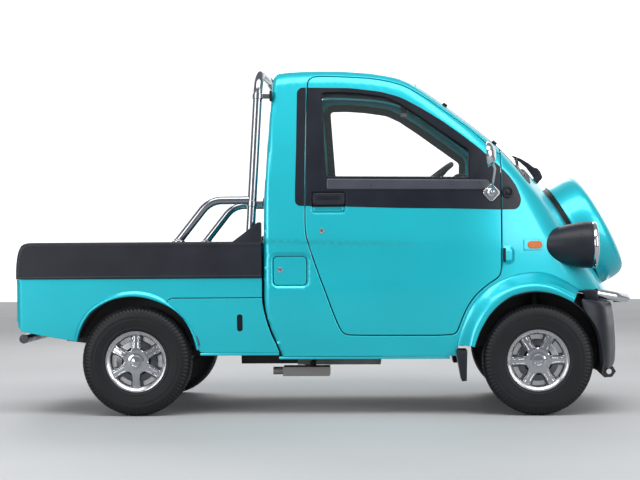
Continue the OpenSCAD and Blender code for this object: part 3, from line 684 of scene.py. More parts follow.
def panel(dom, loop, holes=(), t=0.016, grid=0.016, roll=1.0, lift=0.0, edge=(0.0010, 0.0034), hole_roll=1.0, inner_mat=0, flush=None, nrm=None, inner_t=None):
    """A sheet of the body surface with rolled edges, a flange and an inner skin: a closed thin solid.
    flush(points) gives True where the edge meets its neighbour with no gap or roll."""
    nfun = nrm or (lambda q, p: out_normal(p))
    loops = [ccw(np.asarray(loop))] + [ccw(np.asarray(h))[::-1] for h in holes]
    e1, e2 = edge
    rolls = []
    for k, L in enumerate(loops):
        r = np.full(len(L), float(roll if k == 0 else hole_roll))
        if flush is not None and k == 0: r[flush(L)] = 0.0
        rolls.append(r)
    P2, seg, start = [], [], []
    for L, r in zip(loops, rolls):
        inn = offset(L, e2 * r)
        s = sum(map(len, P2)); P2.append(inn); start.append(s)
        seg += [(s + i, s + (i + 1) % len(inn)) for i in range(len(inn))]
    B = np.concatenate(P2); lo, hi = B.min(0), B.max(0)
    gx, gy = np.meshgrid(np.arange(lo[0] + grid * .37, hi[0], grid), np.arange(lo[1] + grid * .31, hi[1], grid))
    gy = gy + (np.arange(gx.shape[1]) % 2)[None] * grid * 0.5
    G = np.stack([gx.ravel(), gy.ravel()], 1)
    ok = inside(G, P2[0])
    for h in P2[1:]: ok &= ~inside(G, h)
    G = G[ok]
    if len(G):
        G = G[seg_dist(G, np.concatenate(P2)) > grid * 0.45]
    allp = np.concatenate([B, G]) if len(G) else B
    vv, ee, ff, ov, oe, of_ = delaunay_2d_cdt([Vector(p) for p in allp.tolist()], seg, [], 0, 1e-7)
    Q = np.array([tuple(v) for v in vv])
    src = np.array([o[0] if o else -1 for o in ov])
    T = np.array([f for f in ff if len(f) == 3])
    c = Q[T].mean(1)
    ok = inside(c, P2[0])
    for h in P2[1:]: ok &= ~inside(c, h)
    T = T[ok]
    a = Q[T[:, 1]] - Q[T[:, 0]]; b = Q[T[:, 2]] - Q[T[:, 0]]
    cr = a[:, 0] * b[:, 1] - a[:, 1] * b[:, 0]
    T = T[np.abs(cr) > 1e-12]; cr = cr[np.abs(cr) > 1e-12]
    T[cr < 0] = T[cr < 0][:, ::-1]
    # back to the numbering of allp
    back = {}
    for i, o in enumerate(ov):
        for k in o: back[k] = i
    used_of = lambda i: back.get(i, i)
    P3 = dom(Q); N3 = nfun(Q, P3)
    # which way round the domain faces
    k = len(T) // 2
    fn = np.cross(P3[T[:, 1]] - P3[T[:, 0]], P3[T[:, 2]] - P3[T[:, 0]])
    sgn = np.sign((fn * N3[T[:, 0]]).sum())
    T = T if sgn > 0 else T[:, ::-1]
    g = Geo()
    Vo = P3 + N3 * lift
    ti = inner_t if inner_t is not None else t
    Vi = P3 + N3 * (lift - ti)
    n0 = len(Q)
    V = [Vo, Vi]; faces, NN, MM = [], [], []
    for f in T:
        faces.append(tuple(f)); NN.append(N3[list(f)]); MM.append(0)
        r = tuple(f[::-1] + n0); faces.append(r); NN.append(-N3[list(f[::-1])]); MM.append(inner_mat)
    off = 2 * n0
    for L, r, s in zip(loops, rolls, start):
        m = len(L)
        idx = np.array([used_of(s + i) for i in range(m)])
        L1 = offset(L, e1 * r)
        A1 = dom(L1); M1 = nfun(L1, A1); A0 = dom(L); M0 = nfun(L, A0)
        AI = dom(offset(L, (e2 + 0.002) * r))
        sd = A0 - AI; bad = np.linalg.norm(sd, axis=1) < 1e-5
        tg = np.roll(A0, -1, 0) - np.roll(A0, 1, 0)
        sd2 = np.cross(tg, M0) * (1 if sgn > 0 else -1)
        sd2 /= np.maximum(np.linalg.norm(sd2, axis=1, keepdims=True), 1e-9)
        S = sd2 
        d1 = e1 * r; d0 = e2 * r
        R1 = A1 + M1 * (lift - d1)[:, None]
        R0 = A0 + M0 * (lift - d0)[:, None]
        RF = A0 + M0 * (lift - ti)
        V += [R1, R0, RF]
        i1, i0, iF = off, off + m, off + 2 * m; off += 3 * m
        n2 = N3[idx]; n1 = M1 * (0.8 * r + 1 - r)[:, None] + S * (0.6 * r)[:, None]
        n1 /= np.linalg.norm(n1, axis=1, keepdims=True)
        for i in range(m):
            j = (i + 1) % m
            quads = [((idx[i], i1 + i, i1 + j, idx[j]), (n2[i], n1[i], n1[j], n2[j])),
                     ((i1 + i, i0 + i, i0 + j, i1 + j), (n1[i], S[i] if r[i] > .5 else n1[i], S[j] if r[j] > .5 else n1[j], n1[j])),
                     ((i0 + i, iF + i, iF + j, i0 + j), (S[i], S[i], S[j], S[j])),
                     ((iF + i, idx[i] + n0, idx[j] + n0, iF + j), (-M0[i], -M0[i], -M0[j], -M0[j]))]
            for q, nn in quads:
                if sgn > 0: faces.append(q); NN.append(np.array(nn))
                else: faces.append(q[::-1]); NN.append(np.array(nn)[::-1])
                MM.append(0)
    V = np.concatenate(V)
    # drop flat faces with repeated places, which flush edges give
    keepf, keepn, keepm = [], [], []
    for f, n, m_ in zip(faces, NN, MM):
        p = V[list(f)]
        if len(f) == 4:
            ar = np.linalg.norm(np.cross(p[2] - p[0], p[3] - p[1]))
        else:
            ar = np.linalg.norm(np.cross(p[1] - p[0], p[2] - p[0]))
        if ar > 1e-11: keepf.append(f); keepn.append(n); keepm.append(m_)
    g.add(V, keepf, keepn, keepm)
    return g

# ---------------------------------------------------------------- cab skins
def mm(pts): return [(a / 1000.0, b / 1000.0) for a, b in pts]
DOOR = mm([(105, 368), (333, 367), (561, 366), (592, 378), (606, 414), (629, 473), (661, 528), (698, 568), (744, 604), (783, 627), (800, 660),
           (800, 800), (800, 1028), (800, 1189), (741, 1240), (660, 1314), (569, 1379), (478, 1446), (387, 1503), (341, 1523), (272, 1542),
           (203, 1553), (64, 1562), (-52, 1566), (-80, 1551), (-89, 1523), (-92, 1219), (-97, 989), (-97, 843), (-84, 792), (-52, 692), (-8, 573),
           (37, 449), (59, 398), (77, 375)])
def side_loop(pts, step=0.008, corners=None, it=2):
    """(x, z) outline as a loop of the side domain."""
    P = smooth_loop(pts, step, corners, it) if corners is not None else dense(pts, step)
    return to_side(side3(P))

door2 = ccw(side_loop(DOOR, 0.008, corners=(11, 12, 13, 14, 15, 16, 17)))
door_skin = offset(door2, 0.0025)
door_gap = offset(door2, -0.0025)

WINDOW = mm([(-2, 1094), (656, 1086), (658, 1212), (545, 1291), (432, 1372), (340, 1433), (272, 1465), (156, 1482), (64, 1489), (-28, 1488)])
WINR = [.018, .016, .030, .10, .10, .12, .12, .2, .2, .022]
win_xz = fillet(WINDOW, WINR)
win2 = ccw(to_side(side3(win_xz)))
TRIMO = mm([(-138, 1220), (-135, 1511), (110, 1506), (249, 1488), (341, 1462), (432, 1412), (523, 1355), (614, 1289), (704, 1219),
            (749, 1177), (795, 1136), (841, 1090), (872, 1042), (893, 985), (878, 940), (792, 939), (564, 945), (337, 949), (92, 957),
            (92, 1027), (-70, 1027), (-70, 961), (-143, 963), (-143, 1035)])
trim_all = fillet(TRIMO, [.5, .028, .5, .3, .25, .5, .5, .5, .5, .4, .4, .25, .15, .045, .035, .5, .5, .5, .003, .014, .014, .003, .026, .5])

def clip_x(loop, lo, hi):
    """Part of an (x, z) loop between two upright lines given as functions of z."""
    P = [np.array(p) for p in loop]
    def cut(P, f, side):
        out = []
        n = len(P)
        for i in range(n):
            a, b = P[i], P[(i + 1) % n]
            fa, fb = side * (a[0] - f(a[1])), side * (b[0] - f(b[1]))
            if fa >= 0: out.append(a)
            if (fa >= 0) != (fb >= 0):
                t = fa / (fa - fb); out.append(a + (b - a) * t)
        return out
    if lo is not None: P = cut(P, lo, 1)
    if hi is not None: P = cut(P, hi, -1)
    return dense(P, 0.008)

door_rear_x = lambda z: np.interp(z, [0.843, 0.989, 1.219, 1.523], [-.097, -.097, -.092, -.089])
door_trim = clip_x(trim_all, lambda z: door_rear_x(z) + 0.0035, lambda z: 0.7965)
rear_trim = clip_x(trim_all, None, lambda z: door_rear_x(z) - 0.0035)
front_trim = clip_x(trim_all, lambda z: 0.8035, None)

TD = 0.034
def both_sides(g, name, mats, bodies=("truck", "truck"), slot=None):
    a = g.emit(name + "_right", mats, bodies[0], slot)
    b = g.emit(name + "_left", mats, bodies[1], slot, flip=True)
    return a, b

DB = ("right_door", "left_door")
win_open = offset(win2, 0.0)
HANDLE = mm([(92, 925), (92, 1027), (-70, 1027), (-70, 925)])
handle_hole = ccw(to_side(side3(fillet(HANDLE, .016, 0.005))))
g = panel(dom_side, door_skin, [offset(win2, -0.012), offset(handle_hole, -0.0005)], t=TD, grid=0.018, inner_mat=1)
# the door skin's inner face takes the darker paint copy, painted shade
d_r, d_l = both_sides(g, "door_skin", [PAINT, PAINT_IN_SHADE], DB, "paint")
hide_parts("door_right"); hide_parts("door_left")

# black window surround on the door, with the window opening
win_hole = win2
g = panel(dom_side, to_side(side3(door_trim)), [offset(ccw(win_hole), 0.0015)], t=0.004, grid=0.016, lift=0.0022, edge=(0.0006, 0.0018))
both_sides(g, "door_trim", [TRIM], DB, "black_plastic")
g = panel(dom_side, to_side(side3(rear_trim)), t=0.004, grid=0.016, lift=0.0022, edge=(0.0006, 0.0018))
both_sides(g, "rear_trim", [TRIM], slot="black_plastic")
g = panel(dom_side, to_side(side3(front_trim)), t=0.004, grid=0.014, lift=0.0022, edge=(0.0006, 0.0018))
both_sides(g, "front_trim", [TRIM], slot="black_plastic")
# inner window frame and run channel
g = panel(dom_side, offset(ccw(win_hole), -0.030), [offset(ccw(win_hole), 0.001)], t=0.006, grid=0.016, lift=-TD + 0.004, edge=(0.0006, 0.002))
both_sides(g, "window_frame_inner", [SEAL], DB)
g = panel(dom_side, offset(ccw(win_hole), -0.006), [offset(ccw(win_hole), 0.0045)], t=TD - 0.008, grid=0.016, lift=-0.004, edge=(0.0006, 0.002))
both_sides(g, "window_channel", [SEAL], DB)
# glass
g = panel(dom_side, offset(ccw(win_hole), -0.004), t=0.004, grid=0.03, lift=-0.015, edge=(0.0003, 0.0008))
gl_r, gl_l = both_sides(g, "door_window", [GLASS], DB, "glass")
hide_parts("door_glass_right"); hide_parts("door_glass_left")
# inner card of the door
card = to_side(side3(dense(mm([(110, 400), (560, 400), (600, 440), (690, 590), (760, 650), (770, 1060), (-60, 1060), (-70, 850), (-30, 700), (60, 450)]), 0.012)))
g = panel(dom_side, card, t=0.008, grid=0.03, lift=-TD - 0.001, edge=(0.001, 0.003))
both_sides(g, "door_card", [GREY], DB)

# windscreen outline, seen from above
WSR = [(.953, -.2), (.950, -.36), (.940, -.492), (.60, -.463), (.402, -.447), (.398, -.2)]
WS = WSR + [(a, -b) for a, b in WSR[::-1]]
ws = fillet(WS, [.5, .4, .035, .5, .040, .5, .5, .040, .5, .035, .4, .5], 0.008)
ws = ccw(ws)
# rear edge curve of the cab, right side, from the sill to the middle of the roof
def rear_curve(s):
    x = XR(np.minimum(s, 1.6)) + 0.0065
    for _ in range(4):
        p = dom_side(np.stack([x, s], 1)); x = XR(p[:, 2]) + 0.0065
    return dom_side(np.stack([x, s], 1))
ph0 = math.pi - math.atan2(1.6195 - 1.40, PY)
s_mid = 1.40 + PR * ph0
rc = rear_curve(np.arange(0.272, s_mid + 0.004, 0.008))
RAIL = 0.43
rc_side = rc[(rc[:, 1] < -RAIL)]
rc_roof = rc[(rc[:, 1] >= -RAIL) & (rc[:, 1] < 0)]
# the place where the rail seam meets the rear edge
def seam_pt(i):
    a, b = rc_side[-1], rc_roof[0]; t = (-RAIL - a[1]) / (b[1] - a[1]); return a + (b - a) * t
sp = seam_pt(0)
wsr = ws[ws[:, 1] < 0]
k = np.argsort(wsr[:, 0])
# windscreen edge on the right side, from the rail seam forwards to the bottom corner and along the cowl
def ws_part():
    W = ws; n = len(W)
    i = next(i for i in range(n) if W[i, 1] > -RAIL and W[(i - 1) % n, 1] <= -RAIL and W[i, 0] < 0.5 or (W[i, 1] <= -RAIL and W[(i - 1) % n, 1] > -RAIL and W[i, 0] < 0.5))
    return i
# walk the loop from the top seam to the middle of the bottom edge
W = ws if ws[np.argmax(ws[:, 0])][1] is None else ws
def walk():
    n = len(ws)
    # start: the point nearest (.41, -RAIL)
    i0 = int(np.argmin(np.hypot(ws[:, 0] - 0.412, ws[:, 1] + RAIL)))
    # direction: y must go more negative
    d = 1 if ws[(i0 + 3) % n, 1] < ws[i0, 1] else -1
    out = []
    i = i0
    while True:
        out.append(ws[i]); i = (i + d) % n
        if ws[i, 1] > 0 and ws[i, 0] > 0.7: break
    return np.array(out)
wk = walk()
wk[0] = (wk[0, 0], -RAIL)
ws3 = dom_top(wk)
XA = 0.7975
side_ws = ws3[(ws3[:, 0] < XA)]
front_ws = ws3[(np.arange(len(ws3)) >= len(side_ws)) & (ws3[:, 0] > 0.8025)]
# order round: rear edge up, rail seam forwards, windscreen edge, door line back, sill
rail = dom_top(np.stack([np.linspace(sp[0], ws3[0, 0], 82), np.full(82, -RAIL)], 1))
gap3 = dom_side(door_gap)
gi = int(np.argmin(np.hypot(gap3[:, 0] - XA, gap3[:, 2] - 1.192)))      # front top corner
ge = int(np.argmin(np.hypot(gap3[:, 0] - 0.594, gap3[:, 2] - 0.379)))   # front bottom corner
n = len(gap3)
back_path = [gap3[(gi + i) % n] for i in range((ge - gi) % n + 1)]      # anticlockwise: over the top, down, forwards
back_path = np.array(back_path)
if back_path[len(back_path) // 2][2] > 1.2 or len(back_path) < n * 0.4:
    back_path = np.array([gap3[(gi - i) % n] for i in range((gi - ge) % n + 1)])
back_path = back_path[back_path[:, 0] < XA + 0.0005]
foot = dense([(XA, side_ws[-1][2]), (XA, back_path[0][2])], 0.008, closed=False)[1:-1]
foot3 = side3(foot) if len(foot) else np.zeros((0, 3))
sill3 = side3(dense([(0.594, back_path[-1][2]), (0.594, 0.272), (rc_side[0][0], 0.272)], 0.008, closed=False)[1:-1])
cab_loop3 = np.concatenate([rc_side, [sp], rail[1:], side_ws[1:], foot3, back_path, sill3])
cab_loop = to_side(cab_loop3)
def near_any(L3, pts, tol=0.0035):
    return np.array([np.min(np.linalg.norm(pts - q, axis=1)) < tol for q in L3])
LID = mm([(-93, 600), (-93, 729), (-243, 729), (-243, 600)])
LIDR = mm([(-76, 582), (-76, 748), (-258, 748), (-258, 582)])
recess = ccw(to_side(side3(fillet(LIDR, 0.036, 0.005))))
lid = ccw(to_side(side3(fillet(LID, 0.018, 0.005))))
flush_cab = lambda L: near_any(dom_side(L), np.concatenate([rc_side, [sp], rail]), 0.0025)
g = panel(dom_side, cab_loop, [offset(recess, 0.0)], t=0.022, grid=0.018, inner_mat=1, flush=flush_cab)
cs_r = g.emit("cab_side_skin_right", [PAINT, LINER], "truck", "paint")
g = panel(dom_side, cab_loop, t=0.022, grid=0.018, inner_mat=1, flush=flush_cab)
cs_l = g.emit("cab_side_skin_left", [PAINT, LINER], "truck", "paint", flip=True)
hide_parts("cab_side_right"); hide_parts("cab_side_left")
# dished pan round the filler lid: a soft sloping rim down to a flat floor
def dish(recess=recess, deep=0.0085, run=0.016):
    def depth(q):
        d = seg_dist(q, recess); return -deep * sstep((d - 0.001) / run)
    def dd(q):
        p = dom_side(q); return p + out_normal(p) * depth(q)[:, None]
    def nn(q, p):
        e = 5e-4
        a = dd(q + [e, 0]) - dd(q - [e, 0]); b = dd(q + [0, e]) - dd(q - [0, e])
        c = np.cross(a, b); c /= np.linalg.norm(c, axis=1, keepdims=True)
        s = np.sign((c * out_normal(p)).sum(1)); return c * s[:, None]
    return dd, nn
dd, nn = dish()
g = panel(dd, recess, [offset(lid, -0.002)], t=0.010, grid=0.006, nrm=nn, flush=lambda L: np.ones(len(L), bool))
g.emit("filler_dish", [PAINT], "truck", "paint")
g = panel(dom_side, offset(lid, -0.004), t=0.006, grid=0.02, lift=-0.022)
g.emit("filler_pan_floor", [SEAL], "truck")
g = panel(dom_side, lid, t=0.010, grid=0.012, lift=-0.0075, edge=(0.0008, 0.0026))
lid_o = g.emit("filler_lid_skin", [PAINT], "filler_lid", "paint")
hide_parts("fuel_lid")

# roof
roof_loop = np.concatenate([rail, []]) if False else None
mid_rear = rc_roof
top_edge = ws3[:0]
def roof_outline():
    # right half of the rear edge, from the middle out, then the rail, then the windscreen's top edge; mirrored
    r = [tuple(p[:2]) for p in rc_roof[::-1]] + [tuple(sp[:2])]
    r += [tuple(p[:2]) for p in rail[1:]]
    n = len(ws); i0 = int(np.argmin(np.hypot(ws[:, 0] - 0.412, ws[:, 1] + RAIL)))
    d = 1 if ws[(i0 + 3) % n, 1] > ws[i0, 1] else -1
    i = (i0 + d) % n; t = []
    while ws[i, 1] < -0.001:
        t.append(tuple(ws[i])); i = (i + d) % n
    half = r + t
    return np.array(half + [(a, -b) for a, b in half[::-1]])
ro = roof_outline()
flush_roof = lambda L: np.array([(abs(q[1]) > RAIL - 0.002) or q[0] < -0.2 for q in L])
g = panel(dom_top, ro, t=0.018, grid=0.024, inner_mat=1, flush=flush_roof)
rf = g.emit("roof_skin", [PAINT, LINER], "truck", "paint")
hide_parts("roof_panel")

# rear wall with its window
half = [(p[1], p[2]) for p in rc if p[2] > 0.62 and p[1] < 0]
rw = np.array(half + [(-a, b) for a, b in half[::-1]])
rw = dense([tuple(p) for p in rw], 0.012)
rwin = fillet([(-.425, 1.078), (.425, 1.078), (.405, 1.435), (-.405, 1.435)], 0.05, 0.008)
flush_rear = lambda L: np.ones(len(L), bool)
g = panel(dom_rear, rw, [rwin], t=0.03, grid=0.024, inner_mat=1, flush=flush_rear)
rb = g.emit("rear_wall_skin", [PAINT, LINER], "truck", "paint")
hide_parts("cab_back")
g = panel(dom_rear, offset(ccw(rwin), -0.010), [offset(ccw(rwin), 0.016)], t=0.010, grid=0.02, lift=0.004, edge=(0.001, 0.004))
g.emit("rear_window_seal", [SEAL], "truck")
g = panel(dom_rear, offset(ccw(rwin), 0.004), t=0.004, grid=0.05, lift=-0.004, edge=(0.0003, 0.0008))
rg = g.emit("rear_window_glass", [GLASS], "truck", "glass")
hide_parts("rear_window")

# windscreen, its border and seal
g = panel(dom_top, offset(ws, 0.006), t=0.005, grid=0.03, lift=-0.003, edge=(0.0004, 0.001))
wg = g.emit("windscreen_glass", [GLASS], "truck", "glass")
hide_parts("windshield")
g = panel(dom_top, offset(ws, 0.0015), [offset(ws, 0.021)], t=0.012, grid=0.02, lift=0.0005, edge=(0.001, 0.003))
g.emit("windscreen_seal", [SEAL], "truck")
g = panel(dom_top, offset(ws, 0.019), [offset(ws, 0.048)], t=0.002, grid=0.02, lift=-0.0088, edge=(0.0002, 0.0005))
g.emit("windscreen_border", [TRIM], "truck")

# ---------------------------------------------------------------- fenders and nose
JL = mm([(594, 320), (600, 345), (613, 388), (645, 471), (670, 511), (701, 548), (745, 585), (792, 612), (861, 639), (920, 649), (966, 652), (1005, 646), (1043, 634), (1111, 601), (1165, 564)])
SL = mm([(650, 324), (661, 370), (678, 415), (715, 474), (738, 505), (765, 532), (795, 556), (824, 575), (878, 595), (920, 602), (959, 604), (986, 601), (1013, 597), (1067, 576), (1126, 544)])
EL = mm([(668, 315), (679, 352), (695, 392), (732, 456), (759, 488), (787, 514), (815, 534), (841, 550), (900, 566), (930, 569), (958, 570), (985, 567), (1012, 563), (1057, 549), (1119, 518)])
def resample(P, n, smooth=0.0):
    P = np.array(P, float)
    d = np.concatenate([[0], np.cumsum(np.linalg.norm(np.diff(P, axis=0), axis=1))])
    t = np.linspace(0, d[-1], n)
    Q = np.stack([np.interp(t, d, P[:, k]) for k in range(P.shape[1])], 1)
    if smooth > 0:
        h = max(1, int(smooth * n)); ker = np.hanning(2 * h + 3)[1:-1]; ker /= ker.sum()
        pad = lambda v: np.concatenate([2 * v[0] - v[1:h + 1][::-1], v, 2 * v[-1] - v[-h - 1:-1][::-1]])
        Q = np.stack([np.convolve(pad(Q[:, k]), ker, "valid") for k in range(Q.shape[1])], 1)
    return Q
NA = 90
Jc = resample(JL, NA, 0.05); Sc = resample(SL, NA, 0.05); Ec = resample(EL, NA, 0.05)
# fender skin
SEAM_Y = 0.33
gap_front = gap3[(gap3[:, 0] > 0.590) & (gap3[:, 2] < 0.70) & (gap3[:, 2] > 0.370)]
gap_front = gap_front[np.argsort(gap_front[:, 2] + gap_front[:, 0])]
XF = 0.8025
gap_front = gap_front[gap_front[:, 0] < XF - 0.001]
up = side3(dense([(XF, 0.664), (XF, 1.175)], 0.008, closed=False))
def climb(x, y0, y1, n):
    """Across the surface at one x, from the side up over the shoulder."""
    s = np.linspace(1.175, 1.60, 200); p = dom_side(np.stack([np.full(200, x), s], 1))
    p = p[(p[:, 1] > y0) & (p[:, 1] < y1)] if False else p
    return p
fw0 = front_ws[0]
cl = climb(XF, 0, 0, 0)
cl = cl[(cl[:, 2] > 1.178) & (cl[:, 1] < fw0[1] - 0.004)]
cl = cl[:: max(1, len(cl) // 16)]
cowl = front_ws[front_ws[:, 1] < -SEAM_Y - 0.0025]
ysm = -SEAM_Y - 0.0025
ztop = cowl[-1][2] + 0.0
zs = dense([(0, ztop - 0.004), (0, 0.552)], 0.010, closed=False)[:, 1]
def at_y(y, z):
    o = np.stack([np.full(len(z), 0.3), np.full(len(z), y), z], 1)
    return ray(o, np.tile([1.0, 0, 0], (len(z), 1)), 0, 1.3)
nseam = at_y(ysm, zs)
bl = dense([(to_front(nseam[-1:])[0, 0], 0.552), (to_front(side3([(1.160, 0.564)]))[0, 0], 0.560)], 0.010, closed=False)[1:-1]
jf = to_front(side3(Jc[::-1]))
fender_loop = np.concatenate([to_front(gap_front), to_front(up), to_front(cl), to_front(cowl), to_front(nseam), bl, jf])
keep = np.concatenate([[True], np.linalg.norm(np.diff(fender_loop, axis=0), axis=1) > 0.0015])
fender_loop = fender_loop[keep]
g = panel(dom_front, fender_loop, t=0.012, grid=0.016, inner_mat=1, edge=(0.0008, 0.0026))
fe_r, fe_l = both_sides(g, "fender_skin", [PAINT, CHASSIS], slot="paint")
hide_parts("front_fender_right"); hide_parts("front_fender_left")

# nose skin
ys = np.linspace(-SEAM_Y + 0.0025, SEAM_Y - 0.0025, 70)
cow = []
for y in ys:
    m = front_ws
    cow.append(np.interp(abs(y), -front_ws[::-1, 1][::-1][np.argsort(-front_ws[:, 1])] if False else np.sort(-front_ws[:, 1]), front_ws[np.argsort(-front_ws[:, 1]), 2]))
nose_loop = [(y, z) for y, z in zip(ys, cow)] + [(ys[-1], z) for z in np.linspace(cow[-1] - 0.01, 0.56, 50)] + [(y, 0.552) for y in ys[::-1]] + [(ys[0], z) for z in np.linspace(0.56, cow[0] - 0.01, 50)]
g = panel(dom_nose, ccw(np.array(nose_loop)), t=0.012, grid=0.018, inner_mat=1, edge=(0.0008, 0.0026))
no = g.emit("nose_skin", [PAINT, CHASSIS], "truck", "paint")
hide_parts("nose_panel")

# wheel arch flare: a ramp out from the body, a rolled shoulder, a band down to the edge and a lip
def loft(name, S, mat, body="truck", slot=None, cap=True, sharp=42, closed=True):
    """S: sections (n, m, 3), each a closed ring."""
    n, m = S.shape[:2]
    V = S.reshape(-1, 3); f = grid_faces(n, m, wrap_m=closed)
    if cap:
        f.append(tuple(range(m))); f.append(tuple((n - 1) * m + k for k in range(m - 1, -1, -1)))
    ob = make(name, V, f, mat, body, slot=slot)
    fix_normals(ob); sharpen(ob, sharp)
    return ob
def bez(P, t):
    P = [np.asarray(p) for p in P]
    while len(P) > 1: P = [a * (1 - t) + b * t for a, b in zip(P[:-1], P[1:])]
    return P[0]
def flare():
    j3 = side3(Jc)
    S = []
    for i in range(NA):
        J = j3[i]; t = i / (NA - 1)
        out = 0.642 - 0.004 * t
        s = np.array([Sc[i, 0], -out, Sc[i, 1]]); e = np.array([Ec[i, 0], -(out + 0.001), Ec[i, 1]])
        c1 = np.array([J[0] * .55 + s[0] * .45, J[1] * 0.75 + s[1] * 0.25, J[2] * .50 + s[2] * .50])
        c2 = s + (s - c1) * 0.02 + np.array([(J[0] - s[0]) * .18, -0.003, (J[2] - s[2]) * .18])
        row = [J + np.array([0, 0.004, 0])]
        row += [bez([J, c1, c2, s * .5 + e * .5 + np.array([0, -0.004, 0])], q) for q in np.linspace(0, 1, 12)]
        row += [s * .3 + e * .7 + np.array([0, -0.003, 0]), e]
        dn = e - s; dn[1] = 0; L = np.linalg.norm(dn); dn = dn / max(L, 1e-6)
        row += [e + dn * 0.003 + np.array([0, 0.003, 0]), e + dn * 0.003 + np.array([0, 0.030, 0]), e - dn * 0.003 + np.array([0, 0.030, 0]),
                e - dn * 0.004 + np.array([0, 0.006, 0]), s - dn * .006 + np.array([0, 0.010, 0]), c1 + np.array([0, 0.014, -0.004]), J + np.array([0, 0.014, -0.001])]
        S.append(row)
    return np.array(S)
fl = loft("arch_flare_right", flare(), PAINT, slot="paint", sharp=50)
mirror_mesh(fl, "arch_flare_left", "truck")

# pull handle in its recess, and the lock
dd2, nn2 = dish(handle_hole, 0.020, 0.016)
def cut_z(loop, z0, keep_above):
    P = dom_side(loop); 
    f = (loop[:, 1] - z0) * (1 if keep_above else -1)
    out = []
    for i in range(len(loop)):
        a, b = loop[i], loop[(i + 1) % len(loop)]; fa, fb = f[i], f[(i + 1) % len(loop)]
        if fa >= 0: out.append(a)
        if (fa >= 0) != (fb >= 0): out.append(a + (b - a) * fa / (fa - fb))
    return dense(out, 0.006)
all_flush = lambda L: np.ones(len(L), bool)
g = panel(dd2, cut_z(handle_hole, 0.958, True), t=0.004, grid=0.006, nrm=nn2, flush=all_flush)
both_sides(g, "handle_recess", [TRIM], DB)
g = panel(dd2, cut_z(handle_hole, 0.958, False), t=0.004, grid=0.005, nrm=nn2, flush=all_flush)
both_sides(g, "handle_scoop", [PAINT], DB)
g = panel(dom_side, to_side(side3(fillet(mm([(84, 966), (84, 1020), (-62, 1020), (-62, 966)]), .010, 0.005))), t=0.010, grid=0.012, lift=0.0045, edge=(0.001, 0.004))
both_sides(g, "door_pull", [BLACK], DB, "black_plastic")
g = panel(dom_side, to_side(side3(fillet(mm([(66, 990), (66, 1010), (-44, 1010), (-44, 990)]), .006, 0.004))), t=0.003, grid=0.01, lift=0.0065, edge=(0.0008, 0.0018))
both_sides(g, "door_pull_bar", [TRIM], DB)
def lock(name, x, z, body, lift=0.0):
    p = side3([(x, z)]); nrm_ = out_normal(p)[0]; p = p[0] + nrm_ * lift
    o = lathe(name, [(0, -.004), (.0125, -.004), (.0125, .0015), (.0115, .0028), (.0095, .003), (.0088, .0016), (0, .0018)], p, nrm_, CHROME, body, seg=32, sharp=25)
    k = rbox(name + "_slot", p + np.array([-.0012, -.003, -.0055]), p + np.array([.0012, .003, .0055]), SEAL, body, r=0.0004, seg=1)
    k.location = (0, 0, 0)
    return o, k
a, b = lock("door_lock_right", -.020, .847, "right_door")
mirror_mesh(a, "door_lock_left", "left_door"); mirror_mesh(b, "door_lock_left_slot", "left_door")
lock("filler_lock", -.213, .670, "filler_lid", -0.0075)
# belt moulding: one raised strip with rounded ends
belt = to_side(side3(fillet(mm([(2, 1036), (735, 1030), (760, 1050), (735, 1076), (2, 1086)]), [.006, .02, .03, .02, .006], 0.008)))
g = panel(dom_side, belt, t=0.008, grid=0.016, lift=0.0075, edge=(0.002, 0.006))
both_sides(g, "belt_moulding", [GREYS], DB, "black_plastic")

# ---------------------------------------------------------------- bed skins
BED_X = -1.438
def FB(p):
    x, y, z = p[..., 0], np.abs(p[..., 1]), p[..., 2]
    return rmin(B_(z) - 0.0005 - y, x - BED_X, 0.030)
def gradB(p, h=6e-4):
    g = np.stack([(FB(p + np.eye(3)[i] * h) - FB(p - np.eye(3)[i] * h)) / (2 * h) for i in range(3)], -1)
    return -g / np.maximum(np.linalg.norm(g, axis=-1, keepdims=True), 1e-9)
def rayB(o, d, t0, t1, n=26):
    a = np.full(len(o), float(t0)); b = np.full(len(o), float(t1))
    for _ in range(n):
        m = (a + b) / 2; ins = FB(o + d * m[:, None]) > 0
        a = np.where(ins, m, a); b = np.where(ins, b, m)
    return o + d * ((a + b) / 2)[:, None]
def dom_bed(q):
    return rayB(np.stack([q[:, 0], 0 * q[:, 0], q[:, 1]], 1), np.tile([0, -1.0, 0], (len(q), 1)), 0, 0.8)
def dom_tail(q):
    return rayB(np.stack([np.full(len(q), -1.0), q[:, 0], q[:, 1]], 1), np.tile([-1.0, 0, 0], (len(q), 1)), 0, 0.8)
nB = lambda q, p: gradB(p)
XQ = BED_X + 0.030 * (1 - math.sqrt(0.5))
ARCH = mm([(-1157, 345), (-1150, 374), (-1138, 408), (-1117, 446), (-1091, 482), (-1044, 514), (-998, 536), (-951, 550), (-891, 556), (-836, 549), (-789, 535), (-743, 517), (-697, 489), (-652, 443), (-620, 392), (-603, 345), (-593, 305)])
ARC = resample(ARCH, 100, 0.05)
i_h = int(np.argmin(np.hypot(ARC[:, 0] + .739, ARC[:, 1] - .515)))
up_arc = ARC[:i_h + 1]
main = np.concatenate([dense([(XQ, .632), (XQ, .440), (-1.4275, .412), (-1.412, .392), (-1.324, .374), (-1.231, .357), (-1.157, .345)], 0.008, closed=False)[:-1],
                       up_arc, dense([tuple(up_arc[-1]), (-.739, .5225), (-.728, .536), (-.711, .5445), (-.2975, .5445), (-.2975, .632)], 0.008, closed=False)[1:], dense([(-.2975, .632), (XQ, .632)], 0.012, closed=False)[1:-1]])
fl_main = lambda L: np.array([(q[0] < XQ + 0.001 and q[1] > 0.42) or (q[1] > .6315) for q in L])
g = panel(dom_bed, ccw(main), t=0.014, grid=0.018, nrm=nB, inner_mat=1, flush=fl_main, edge=(0.0006, 0.0022))
